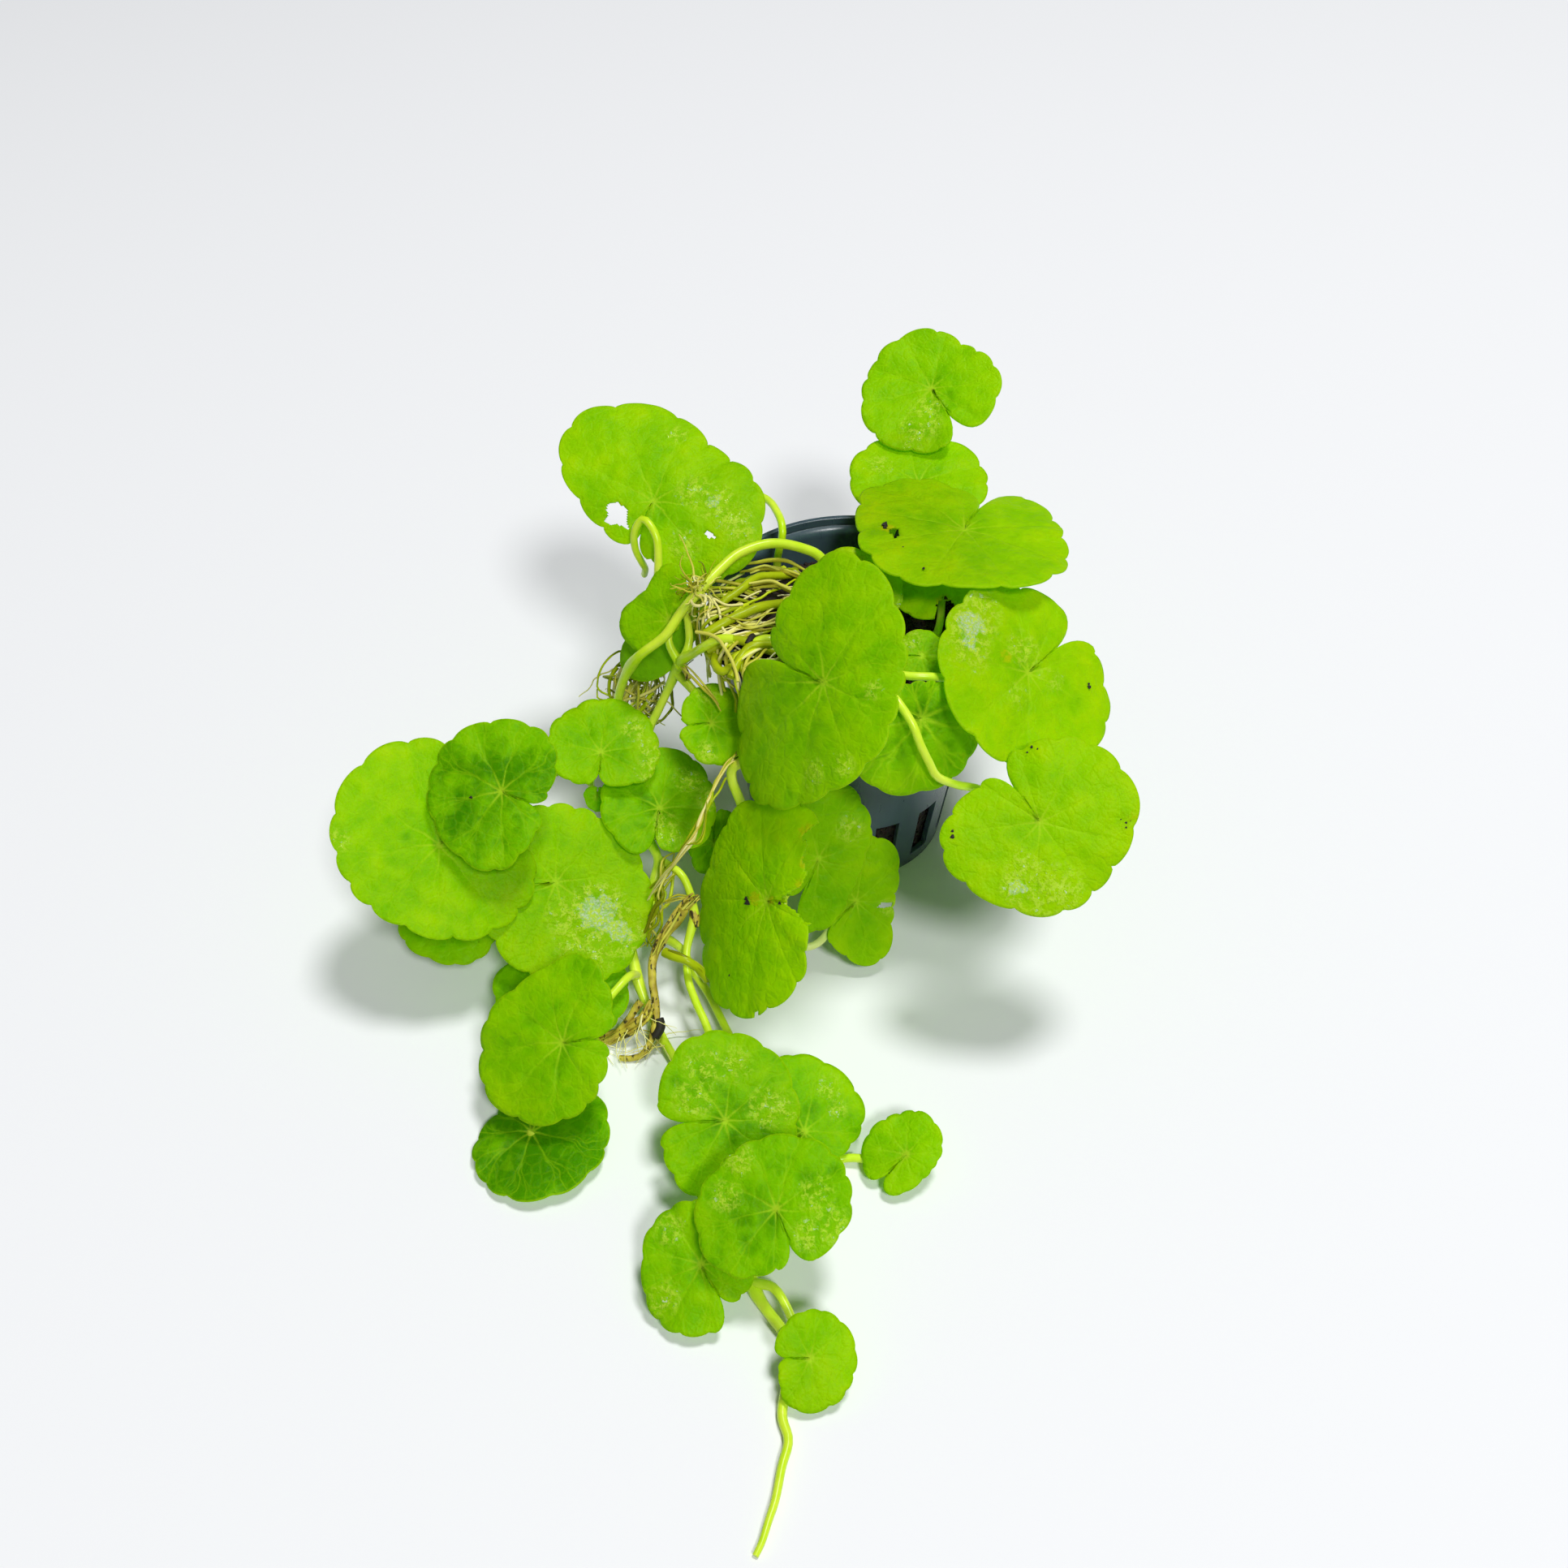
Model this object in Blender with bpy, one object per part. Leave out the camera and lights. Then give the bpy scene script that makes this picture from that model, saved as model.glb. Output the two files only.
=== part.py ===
# Brazilian pennywort in a black net pot, its runners trailing down to the surface.
# Metres, +Z up. The origin is the middle of the pot's underside, on the surface.
# The plant spills to -X and -Y, and every size in the tables below is in millimetres.

import math

import bmesh
import bpy
from mathutils import Vector

MM = 0.001
CLEARANCE = 0.3  # what two neighbours keep between them

# Net pot: a flared plastic cup with upright slots low in its wall
POT_HEIGHT = 58.0
POT_RIM_RADIUS = 27.5
POT_BASE_RADIUS = 20.5
POT_WALL = 1.2
POT_FLOOR = 1.6
LIP_WIDTH = 0.9
LIP_HEIGHT = 2.4
SLOT_COUNT = 14
SLOT_SHARE = 0.51  # how much of each slot and rib is slot
SLOT_BOTTOM = 3.0
SLOT_TOP = 17.0

# Growing medium: fills the pot to a little under its rim
MEDIUM_TOP = 50.0

# Root heap on the medium, and the tangle that hangs outside the pot
HEAP_CENTRE = (-15.5, -1.5, 55.0)
HEAP_RADII = (11.0, 13.0, 5.5)
TANGLE_CENTRE = (-44.5, 6.0, 31.0)
TANGLE_RADII = (6.0, 6.0, 7.0)
LUMP_SHARE = 0.12  # how far the lumps stand out, as a share of the radius

# Leaf blades
BLADE_THICKNESS = 0.6
HEART_RADIUS = 2.3  # the sinus stops this far from where the stalk joins
STALK_RADIUS = 0.8
STALK_SIDES = 5
STALK_STEP = 7.0
APPROACH = 4.5  # a stalk meets its blade square on over this length

# Runners, from the pot outwards. Each has its end radii and the points that it passes.
RUNNERS = {
    "runner_arch": {
        "radii": (1.0, 0.9),
        "route": [
            (-2, 9, 51.6), (-6, 9, 61), (-10, 9, 64), (-16, 8, 66), (-22, 5, 66),
            (-26, 1, 65), (-30, -3.5, 63), (-33.5, -4, 58.5), (-36.5, -6.2, 54.8),
            (-41.5, -7.2, 50.7), (-43.8, -5.3, 46.3), (-45.5, -4.2, 42), (-47, -3.5, 36.5),
            (-48, -3, 30), (-50, -3, 24), (-55, -3, 19), (-61, -3, 15), (-68, -5, 12),
            (-75, -10, 8), (-80, -19, 4), (-82, -27, 1.2),
        ],
    },
    "runner_side": {
        "radii": (0.9, 0.9),
        "route": [
            (-23, -14.5, 60.8), (-26, -14, 60.3), (-29, -13, 57.5), (-31, -10, 53.5),
            (-33, -8, 50.5), (-34, -6.5, 48), (-35, -5, 44.5), (-37, -4.5, 39),
            (-39, -6, 35), (-41, -7.5, 31), (-42, -10, 26), (-42, -16, 21),
            (-41, -26, 20), (-38.5, -32, 19.5), (-39, -36, 17), (-40, -39, 13.5),
            (-42, -43, 11.5), (-43, -46, 10),
        ],
    },
    "runner_trailing": {
        "radii": (0.9, 1.0),
        "route": [
            (-43.3, -47, 9.4), (-42.3, -51, 6.5), (-40.5, -55, 3.5), (-38.5, -59, 1.8),
            (-36, -64, 1.2), (-32, -71, 1.2), (-28, -82, 1.2), (-25, -92, 1.2),
            (-21, -104, 1.2), (-19, -112, 1.2), (-17, -116, 1.2), (-14, -120, 1.2),
        ],
    },
    "runner_tip": {
        "radii": (1.0, 0.5),
        "route": [
            (-13.8, -120.5, 1.2), (-13, -124, 1.1), (-13, -128, 1.1), (-14, -134, 1.1),
            (-13, -138, 1), (-14, -142, 0.9), (-15, -147, 0.9), (-16, -150, 0.8),
            (-17, -153, 0.7), (-18, -155, 0.6),
        ],
    },
    "runner_front": {
        "radii": (1.0, 0.9),
        "route": [
            (-6, -14, 51.6), (-9, -21, 58.5), (-11.5, -26.5, 60.2), (-14, -29.5, 56),
            (-17, -31, 49.5), (-20, -30, 45), (-23.2, -29.3, 42), (-23.5, -29.8, 39),
            (-22, -31.5, 35), (-20, -34, 29), (-17.5, -38.5, 22), (-15.5, -41.5, 15),
            (-14, -44.5, 8), (-12.5, -47, 1.6),
        ],
    },
    "runner_branch": {
        "radii": (0.8, 0.8),
        "parent": ("runner_side", 13),
        "route": [(-36, -34.5, 20), (-34, -36, 19.5), (-32, -39, 17.5), (-31, -43, 15)],
    },
    "runner_loop": {
        "radii": (0.9, 0.7),
        "route": [
            (-43, 7.5, 39.5), (-42, 8, 44), (-40, 8, 50), (-38.8, 7.5, 56), (-38.4, 6.3, 59.4),
            (-38.2, 7.2, 62.5), (-38.5, 9.5, 66.5), (-41, 12.5, 68.5), (-43, 12, 65.5),
            (-43, 11.5, 62), (-42, 11.5, 59), (-41.5, 13, 56), (-42, 15, 53),
        ],
    },
}

# Roots thick enough to be pieces of their own
ROOTS = {
    "root_brown": {
        "finish": "brown_root", "radii": (0.9, 0.5),
        "swell": (4, 1.3),
        "route": [
            (-33, -43.5, 17.5), (-34.5, -45, 15.5), (-37, -47, 13.5), (-38.5, -49, 11.5),
            (-39, -53, 9.5), (-38.5, -57, 7.5), (-38, -60.5, 5.5), (-39, -63.5, 3),
            (-41, -66, 1), (-45, -66, 0.7),
        ],
    },
    "root_brown_branch": {
        "finish": "brown_root", "radii": (0.8, 0.5),
        "route": [(-41, -58, 7.5), (-43, -60, 5.5), (-45.5, -61.5, 3), (-49, -62.5, 1)],
    },
    "root_olive": {
        "finish": "root", "radii": (1.0, 0.8),
        "route": [(-36.5, -50, 12.5), (-34.5, -51.5, 13), (-32, -52.5, 13), (-30, -53, 11), (-28.5, -53.5, 8.5)],
    },
    "root_over_leaf": {
        "finish": "root", "radii": (0.7, 0.9),
        "route": [
            (-24.5, -33, 43), (-26, -34.5, 40.5), (-29, -38, 38), (-32, -41, 34),
            (-35, -41.5, 27), (-39.5, -41, 21),
        ],
    },
}

# Leaves. "heart" is where the stalk joins, "tilt" leans the blade by that angle towards
# "lean", "sinus" is the heading of the notch, and "reach" is how far the edge is from the
# heart, at eight even steps counter-clockwise from the notch. The stalk starts at "foot",
# or beside point "at" of a runner or root, and passes the "via" points.
LEAVES = {
    "leaf_back_right_top": {
        "heart": (17.5, 54.5, 72), "tilt": 25, "lean": -120, "sinus": -69, "cup": 1.5,
        "reach": (15, 14.5, 12, 14, 14, 14.5, 17, 17),
        "foot": (12, 15, 51), "via": [(16, 22, 60.3), (18, 32, 60), (18.5, 45, 61)],
    },
    "leaf_back_right_middle": {
        "heart": (14, 32, 63.5), "tilt": 12, "lean": -100, "sinus": -80,
        "reach": (13.5, 14, 14, 14, 14.5, 14.5, 13, 12),
        "foot": (4, 14, 51), "via": [(9, 23, 59.8)],
    },
    "leaf_right_wide": {
        "heart": (21.5, 11.5, 67), "tilt": 8, "lean": 60, "sinus": 67, "gap": 20,
        "reach": (17, 23, 21, 24, 22.5, 22.5, 19, 20),
        "foot": (18, 13, 51), "via": [(19.5, 15, 58)],
    },
    "leaf_right_torn": {
        "heart": (17.5, 4.5, 61.5), "tilt": 10, "lean": -90, "sinus": 100,
        "reach": (6, 8, 12.5, 12, 10, 8, 6.5, 6),
        "foot": (14, -6, 51), "via": [(16, -5, 55)],
    },
    "leaf_right_large": {
        "heart": (31.5, -20.5, 58), "tilt": 35, "lean": -40, "sinus": 49,
        "reach": (17.5, 18, 18.5, 20, 20.3, 18, 18.5, 17),
        "foot": (2.5, -11, 51), "via": [(3.5, -20, 59.8), (7, -25.5, 61.8), (14, -26, 61.5), (21, -23, 58)],
    },
    "leaf_right_front": {
        "heart": (31.5, -48.3, 47.3), "tilt": 42, "lean": -95, "sinus": 125,
        "roll": -2, "roll_along": 30,
        "reach": (12.5, 18, 16.5, 16.5, 15.5, 17.5, 16.5, 13.5),
        "foot": (-1, -13, 51),
        "via": [
            (0, -20, 59.5), (2.5, -27, 61), (4.5, -30.5, 61), (5.3, -33.3, 59), (6.8, -37.5, 56),
            (10.5, -38, 51.5), (13, -39.5, 47.5), (17, -38.5, 44), (23, -37.5, 42), (29, -39.5, 40),
        ],
    },
    "leaf_pot_front": {
        "heart": (11, -32, 57), "tilt": 60, "lean": -70, "sinus": 175,
        "gap": 36, "gap_curve": 2.5,
        "reach": (14.5, 15, 13.5, 12.5, 11.5, 9, 8.5, 9),
        "runner": "runner_front", "at": 4, "via": [(-13, -32, 49.5), (-3, -30.5, 50), (5, -30.5, 52)],
    },
    "leaf_right_small": {
        "heart": (11.5, -19.5, 61), "tilt": 30, "lean": -90, "sinus": 180,
        "reach": (5, 5, 4.5, 4.5, 4.5, 5, 5, 5),
        "foot": (9, -14, 51), "via": [],
    },
    "leaf_centre_large": {
        "heart": (-7, -33.5, 67), "tilt": 48, "lean": -140, "sinus": 140,
        "roll": -4, "roll_along": 100,
        "reach": (20.5, 28, 20.5, 17.5, 15, 18, 23.5, 16),
        "foot": (-2, -17, 51), "via": [(-3, -22, 58), (-3.5, -27, 62)],
    },
    "leaf_centre_behind": {
        "heart": (1, -3.5, 62), "tilt": 30, "lean": -90, "sinus": -130,
        "reach": (8, 8, 7.5, 8.5, 9, 10.5, 9, 8),
        "foot": (1, -1, 51), "via": [],
    },
    "leaf_back_left_large": {
        "heart": (-39.5, 18.5, 68.5), "tilt": 32, "lean": -100, "sinus": -112, "gap": 14,
        "roll": -4, "roll_along": -30,
        "reach": (12.5, 22.5, 21.5, 17, 22, 24.2, 13.5, 9),
        "foot": (-15, 16, 51),
        "via": [
            (-15, 15, 57), (-14, 16, 63), (-15, 21, 64), (-18, 27, 63.5), (-25, 31, 62),
            (-33, 27, 62),
        ],
    },
    "leaf_left_folded": {
        "heart": (-36, -2, 55), "tilt": 45, "lean": -120, "sinus": -82, "approach": 1,
        "reach": (2.5, 2.4, 3.2, 11.2, 8, 10.5, 8.8, 3),
        "runner": "runner_side", "at": 5, "via": [(-36, -4.5, 51.3)],
    },
    "leaf_left_underside": {
        "heart": (-32, 0, 56), "tilt": 122, "lean": 55, "sinus": 152, "approach": 1.1,
        "reach": (6, 4.5, 4.2, 3.6, 4, 7.6, 20, 8),
        "runner": "runner_side", "at": 4, "via": [(-32, -6, 53.5)],
    },
    "leaf_centre_small": {
        "heart": (-27.5, -21.5, 46), "tilt": 35, "lean": -50, "sinus": -162,
        "reach": (7, 8, 8.5, 8, 8, 8, 7, 6),
        "runner": "runner_side", "at": 6, "via": [(-30, -11, 42)],
    },
    "leaf_middle_left": {
        "heart": (-38, -26, 27.5), "tilt": 20, "lean": -60, "sinus": -96,
        "reach": (9.5, 11, 11, 13, 13, 12, 11.5, 11),
        "runner": "runner_side", "at": 11, "via": [],
    },
    "leaf_upper_left": {
        "heart": (-49.5, -18.5, 35.5), "tilt": 18, "lean": -70, "sinus": -91,
        "reach": (7.5, 11, 11.5, 12, 11.5, 11, 10, 8),
        "runner": "runner_arch", "at": 14, "via": [],
    },
    "leaf_far_left_top": {
        "heart": (-66.5, -33.5, 40), "tilt": 35, "lean": -100, "sinus": -27,
        "reach": (9, 13, 13.5, 14, 14, 14, 15, 10.5),
        "runner": "runner_arch", "at": 17, "via": [(-66, -15, 20)],
    },
    "leaf_far_left_large": {
        "heart": (-78.5, -39, 31), "tilt": 35, "lean": -60, "sinus": 55,
        "reach": (19, 21.5, 20.5, 18, 17, 19, 19, 12),
        "runner": "runner_arch", "at": 19, "via": [(-81, -26, 14)],
    },
    "leaf_left_wet": {
        "heart": (-57.5, -40.5, 22), "tilt": 35, "lean": -70, "sinus": -167,
        "reach": (15.5, 18.5, 21, 19, 16, 15.2, 15, 14),
        "runner": "runner_side", "at": 14,
        "via": [(-37.3, -40, 16.8), (-42, -42, 15.6), (-50, -39.5, 15)],
    },
    "leaf_far_left_shaded": {
        "heart": (-79, -40.5, 13), "tilt": 25, "lean": -90, "sinus": 94,
        "reach": (9, 10, 10.5, 10, 11, 10.5, 10, 9),
        "runner": "runner_arch", "at": 20, "via": [],
    },
    "leaf_lower_left": {
        "heart": (-53.5, -74, 17), "tilt": 38, "lean": -120, "sinus": 0,
        "reach": (11, 16, 13.5, 15.5, 17, 15, 12, 9.5),
        "runner": "runner_trailing", "at": 1, "via": [(-43.5, -55.5, 11.5), (-48, -62, 11)],
    },
    "leaf_surface_left": {
        "heart": (-59.5, -83.5, 3), "tilt": 6, "lean": -140, "sinus": 83, "approach": 1,
        "reach": (10, 8, 10.5, 12.5, 14, 14.5, 14, 12),
        "runner": "root_brown_branch", "at": 3, "via": [(-53, -70, 1)],
    },
    "leaf_lower_left_shaded": {
        "heart": (-55.5, -56.5, 8), "tilt": 15, "lean": -90, "sinus": 94,
        "reach": (9, 14, 12, 10, 10, 12, 12, 9),
        "runner": "runner_trailing", "at": 0, "via": [],
    },
    "leaf_front_torn": {
        "heart": (-17, -53.5, 32), "tilt": 55, "lean": -150, "sinus": -20,
        "roll": -3, "roll_along": 80,
        "reach": (11, 15, 16.5, 20.5, 24, 22.5, 18, 11.5),
        "runner": "runner_front", "at": 10, "via": [],
    },
    "leaf_front_behind": {
        "heart": (-7, -36.5, 24), "tilt": 55, "lean": -80, "sinus": -111,
        "reach": (14.5, 9.5, 9, 13, 16, 9, 7.5, 9),
        "runner": "runner_front", "at": 11, "via": [],
    },
    "leaf_front_right": {
        "heart": (0.5, -39, 14.5), "tilt": 55, "lean": -80, "sinus": -135,
        "reach": (10, 13.5, 8, 8.5, 13.5, 12, 10, 9),
        "runner": "runner_front", "at": 12, "via": [(-10, -48, 7), (-5, -46.5, 8.5)],
    },
    "leaf_front_shaded": {
        "heart": (-27.5, -29.5, 21), "tilt": 40, "lean": -120, "sinus": 84,
        "reach": (7, 6, 5.5, 6.5, 5, 6, 6, 7),
        "runner": "runner_side", "at": 12, "via": [],
    },
    "leaf_young": {
        "heart": (-51, -21, 25), "tilt": 30, "lean": -60, "sinus": 90,
        "reach": (2.5, 2.8, 2.4, 2.6, 2.8, 2.5, 2.4, 2.5),
        "runner": "runner_arch", "at": 15, "via": [],
    },
    "leaf_trail_upper": {
        "heart": (-24, -87, 12), "tilt": 32, "lean": -80, "sinus": -176,
        "reach": (12, 14, 12, 12.5, 13.5, 15, 15.5, 12.5),
        "runner": "runner_branch", "at": 3,
        "via": [
            (-32.5, -47.5, 11), (-32.5, -50.5, 9), (-32, -54, 8), (-30.5, -58, 7.5),
            (-28, -64, 6.5), (-25, -76, 5.5),
        ],
    },
    "leaf_trail_right": {
        "heart": (-10, -86, 7), "tilt": 20, "lean": -60, "sinus": -137,
        "reach": (8, 9, 8, 11.5, 13, 14, 9, 8),
        "runner": "runner_trailing", "at": 6, "via": [(-19, -84, 1.5)],
    },
    "leaf_trail_middle": {
        "heart": (-15, -106.5, 16.5), "tilt": 22, "lean": -120, "sinus": -71,
        "reach": (10.5, 12.5, 13, 12, 12, 13.5, 13.5, 10),
        "runner": "root_brown", "at": 2,
        "via": [
            (-33.5, -46, 8), (-31.5, -49.5, 6), (-28.5, -54, 5), (-26, -59, 4),
            (-22, -68, 3.5), (-18.5, -82, 4.2), (-16, -94, 3.2), (-15, -100, 5.5),
        ],
    },
    "leaf_trail_left": {
        "heart": (-27.5, -112, 8), "tilt": 30, "lean": -110, "sinus": -61,
        "reach": (8.5, 10, 10, 10.5, 10.5, 10, 11.5, 11),
        "runner": "runner_trailing", "at": 8, "via": [],
    },
    "leaf_trail_end": {
        "heart": (-9.5, -127, 6), "tilt": 30, "lean": -80, "sinus": -179,
        "reach": (5.5, 8, 8, 7.5, 7.5, 7.5, 7, 6),
        "runner": "runner_trailing", "at": 9, "via": [(-14.5, -115, 4)],
    },
    "leaf_trail_small": {
        "heart": (8, -89.5, 5), "tilt": 22, "lean": -130, "sinus": -139,
        "reach": (7.5, 5.5, 5.5, 7, 8, 7.5, 8, 8),
        "runner": "runner_trailing", "at": 8, "via": [(-15, -97, 1.2), (-5, -89, 1.6), (2, -88.5, 2)],
    },
}

# Finishes: sRGB colour, roughness
FINISHES = {
    "black_plastic": ("#3b4a50", 0.28),
    "medium": ("#3a2b1c", 0.95),
    "leaf": ("#7cc20a", 0.32),
    "stem": ("#b4d21a", 0.38),
    "root": ("#cfc47a", 0.6),
    "brown_root": ("#6d5a22", 0.75),
}


def clear_scene():
    for old in list(bpy.data.objects):
        bpy.data.objects.remove(old, do_unlink=True)


def linear(channel):
    return channel / 12.92 if channel <= 0.04045 else ((channel + 0.055) / 1.055) ** 2.4


def make_material(name, finish):
    colour, roughness = FINISHES[finish]
    rgb = [linear(int(colour[i:i + 2], 16) / 255) for i in (1, 3, 5)]
    material = bpy.data.materials.new(name)
    material.use_nodes = True
    shader = material.node_tree.nodes["Principled BSDF"]
    shader.inputs["Base Color"].default_value = (*rgb, 1.0)
    shader.inputs["Roughness"].default_value = roughness
    shader.inputs["Metallic"].default_value = 0.0
    return material


def add_object(name, bm, finish, cutter=False):
    """Turns a bmesh in millimetres into an object in metres."""
    bmesh.ops.scale(bm, vec=(MM, MM, MM), verts=bm.verts)
    mesh = bpy.data.meshes.new(name)
    bm.to_mesh(mesh)
    bm.free()
    mesh.shade_smooth()
    mesh.set_sharp_from_angle(angle=math.radians(40))
    part = bpy.data.objects.new(name, mesh)
    bpy.context.scene.collection.objects.link(part)
    if cutter:
        part.hide_render = True
        part.display_type = "WIRE"
    else:
        mesh.materials.append(make_material(name, finish))
    return part


def boolean(part, other, operation):
    modifier = part.modifiers.new(operation.lower(), "BOOLEAN")
    modifier.operation = operation
    modifier.object = other
    modifier.solver = "EXACT"


def smooth_path(points, step):
    """Reads points about one step apart from a smooth curve through the route's points."""
    ends = [points[0] * 2 - points[1], *points, points[-1] * 2 - points[-2]]
    path = [points[0]]
    for before, start, end, after in zip(ends, ends[1:], ends[2:], ends[3:]):
        pieces = max(1, round((end - start).length / step))
        for k in range(1, pieces + 1):
            t = k / pieces
            along = start * 2 + (end - before) * t
            along += (before * 2 - start * 5 + end * 4 - after) * t ** 2
            along += (start * 3 - before - end * 3 + after) * t ** 3
            path.append(along / 2)
    return path


def add_tube(bm, path, radii, sides):
    """Sweeps a closed tube along a path, with flat caps. A seam line turns with the path."""
    across = Vector((0, 0, 1))
    rings = []
    for index, point in enumerate(path):
        ahead = path[min(index + 1, len(path) - 1)] - path[max(index - 1, 0)]
        ahead.normalize()
        across = across - ahead * across.dot(ahead)
        if across.length < 0.05:
            across = ahead.orthogonal()
        across.normalize()
        other = ahead.cross(across)
        ring = []
        for k in range(sides):
            angle = 2 * math.pi * k / sides
            offset = across * math.cos(angle) + other * math.sin(angle)
            ring.append(bm.verts.new(point + offset * radii[index]))
        rings.append(ring)
    for ring, following in zip(rings, rings[1:]):
        for k in range(sides):
            nearby = (k + 1) % sides
            bm.faces.new((ring[k], ring[nearby], following[nearby], following[k]))
    bm.faces.new(list(reversed(rings[0])))
    bm.faces.new(rings[-1])


def add_lathe(bm, profile, segments):
    """Turns a closed profile of (radius, height) points about Z."""
    rings = []
    for radius, height in profile:
        ring = []
        for k in range(segments):
            angle = 2 * math.pi * k / segments
            ring.append(bm.verts.new((radius * math.cos(angle), radius * math.sin(angle), height)))
        rings.append(ring)
    for index, ring in enumerate(rings):
        following = rings[(index + 1) % len(rings)]
        for k in range(segments):
            nearby = (k + 1) % segments
            bm.faces.new((ring[k], ring[nearby], following[nearby], following[k]))


def pot_radius(height):
    return POT_BASE_RADIUS + (POT_RIM_RADIUS - POT_BASE_RADIUS) * height / POT_HEIGHT


def build_pot():
    """The wall is a net of panels, and each slot is a panel left open with its four sides."""
    bm = bmesh.new()
    period = 2 * math.pi / SLOT_COUNT
    angles = []
    for k in range(SLOT_COUNT):
        angles.append(period * k)
        angles.append(period * (k + SLOT_SHARE))
    lip_bottom = POT_HEIGHT - LIP_HEIGHT
    outer = [(pot_radius(z), z) for z in (0.0, SLOT_BOTTOM, SLOT_TOP, lip_bottom)]
    outer += [(pot_radius(lip_bottom) + LIP_WIDTH, lip_bottom), (POT_RIM_RADIUS + LIP_WIDTH, POT_HEIGHT)]
    inner = [(pot_radius(z) - POT_WALL, z) for z in (POT_HEIGHT, SLOT_TOP, SLOT_BOTTOM, POT_FLOOR)]
    profile = outer + inner
    rings = []
    for radius, height in profile:
        rings.append([bm.verts.new((radius * math.cos(a), radius * math.sin(a), height)) for a in angles])
    outer_slot_row = 1
    inner_slot_row = 7
    count = len(angles)
    for row in range(len(profile) - 1):
        for k in range(count):
            if k % 2 == 0 and row in (outer_slot_row, inner_slot_row):
                continue
            nearby = (k + 1) % count
            bm.faces.new((rings[row][k], rings[row][nearby], rings[row + 1][nearby], rings[row + 1][k]))
    for k in range(0, count, 2):
        outside = (rings[1][k], rings[1][k + 1], rings[2][k + 1], rings[2][k])
        inside = (rings[8][k], rings[8][k + 1], rings[7][k + 1], rings[7][k])
        for a in range(4):
            b = (a + 1) % 4
            bm.faces.new((outside[a], outside[b], inside[b], inside[a]))
    bm.faces.new(list(reversed(rings[0])))
    bm.faces.new(rings[-1])
    bmesh.ops.triangulate(bm, faces=[f for f in bm.faces if len(f.verts) > 4])
    return add_object("net_pot", bm, "black_plastic")


def build_medium():
    """A plug that follows the pot's inside, open nowhere, a hair smaller than the pot."""
    bm = bmesh.new()
    inset = POT_WALL + CLEARANCE + 0.2
    low = POT_FLOOR + CLEARANCE
    segments = 28
    rings = []
    for height in (low, MEDIUM_TOP):
        radius = pot_radius(height) - inset
        rings.append([
            bm.verts.new((radius * math.cos(2 * math.pi * k / segments),
                          radius * math.sin(2 * math.pi * k / segments), height))
            for k in range(segments)
        ])
    for k in range(segments):
        nearby = (k + 1) % segments
        bm.faces.new((rings[0][k], rings[0][nearby], rings[1][nearby], rings[1][k]))
    bm.faces.new(list(reversed(rings[0])))
    bm.faces.new(rings[1])
    return add_object("growing_medium", bm, "medium")


def lumpy_ball(centre, radii, segments, rings):
    """An ellipsoid with a few low lumps, which stands for matted roots."""
    bm = bmesh.new()
    bmesh.ops.create_uvsphere(bm, u_segments=segments, v_segments=rings, radius=1.0)
    for vert in bm.verts:
        x, y, z = vert.co
        lump = math.sin(5 * x + 2 * y) * math.cos(4 * y - 3 * z) + 0.5 * math.sin(7 * z + 3 * x)
        vert.co *= 1 + LUMP_SHARE * lump
        vert.co = Vector([c + v * r for c, v, r in zip(centre, vert.co, radii)])
    return bm


def build_root_heap():
    """The heap sits on the medium and laps over the rim, so it is cut by both."""
    heap = add_object("root_heap", lumpy_ball(HEAP_CENTRE, HEAP_RADII, 11, 6), "root")
    rim = bmesh.new()
    inner = POT_RIM_RADIUS - POT_WALL - 1.0
    outer = POT_RIM_RADIUS + LIP_WIDTH + CLEARANCE + 0.2
    top = POT_HEIGHT + CLEARANCE + 0.2
    add_lathe(rim, [(inner, 40), (outer, 40), (outer, top), (inner, top)], 28)
    boolean(heap, add_object("rim_clearance", rim, None, cutter=True), "DIFFERENCE")
    below = bmesh.new()
    bmesh.ops.create_cube(below, size=80)
    floor = MEDIUM_TOP + CLEARANCE + 0.1
    bmesh.ops.translate(below, vec=(0, 0, floor - 40), verts=below.verts)
    boolean(heap, add_object("medium_clearance", below, None, cutter=True), "DIFFERENCE")
    return heap


def build_root_tangle():
    return add_object("root_tangle", lumpy_ball(TANGLE_CENTRE, TANGLE_RADII, 10, 6), "root")


def line_radius(line, share):
    start, end = line["radii"]
    return start + (end - start) * share


def beside(line_name, index, towards, radius):
    """A point beside a runner's own point, clear of its skin, on the side that faces a goal."""
    line = RUNNERS.get(line_name) or ROOTS[line_name]
    route = line["route"]
    point = Vector(route[index])
    after = Vector(route[min(index + 1, len(route) - 1)])
    before = Vector(route[max(index - 1, 0)])
    along = (after - before).normalized()
    side = Vector(towards) - point
    side -= along * side.dot(along)
    skin = line_radius(line, index / (len(route) - 1))
    if index == line.get("swell", (None, 0))[0]:
        skin = line["swell"][1]
    return point + side.normalized() * (skin + radius + CLEARANCE + 0.15)


def build_line(name, line, finish, sides=6):
    route = [Vector(p) for p in line["route"]]
    if "parent" in line:
        parent, index = line["parent"]
        route[0] = beside(parent, index, route[1], line["radii"][0])
    path = smooth_path(route, 5.8)
    last = len(path) - 1
    radii = [line_radius(line, k / last) for k in range(last + 1)]
    if "swell" in line:
        index, width = line["swell"]
        middle = Vector(line["route"][index])
        for k, point in enumerate(path):
            nearness = max(0.0, 1 - (point - middle).length / 7)
            radii[k] += (width - radii[k]) * nearness
    bm = bmesh.new()
    add_tube(bm, path, radii, sides)
    return add_object(name, bm, finish)


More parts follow.
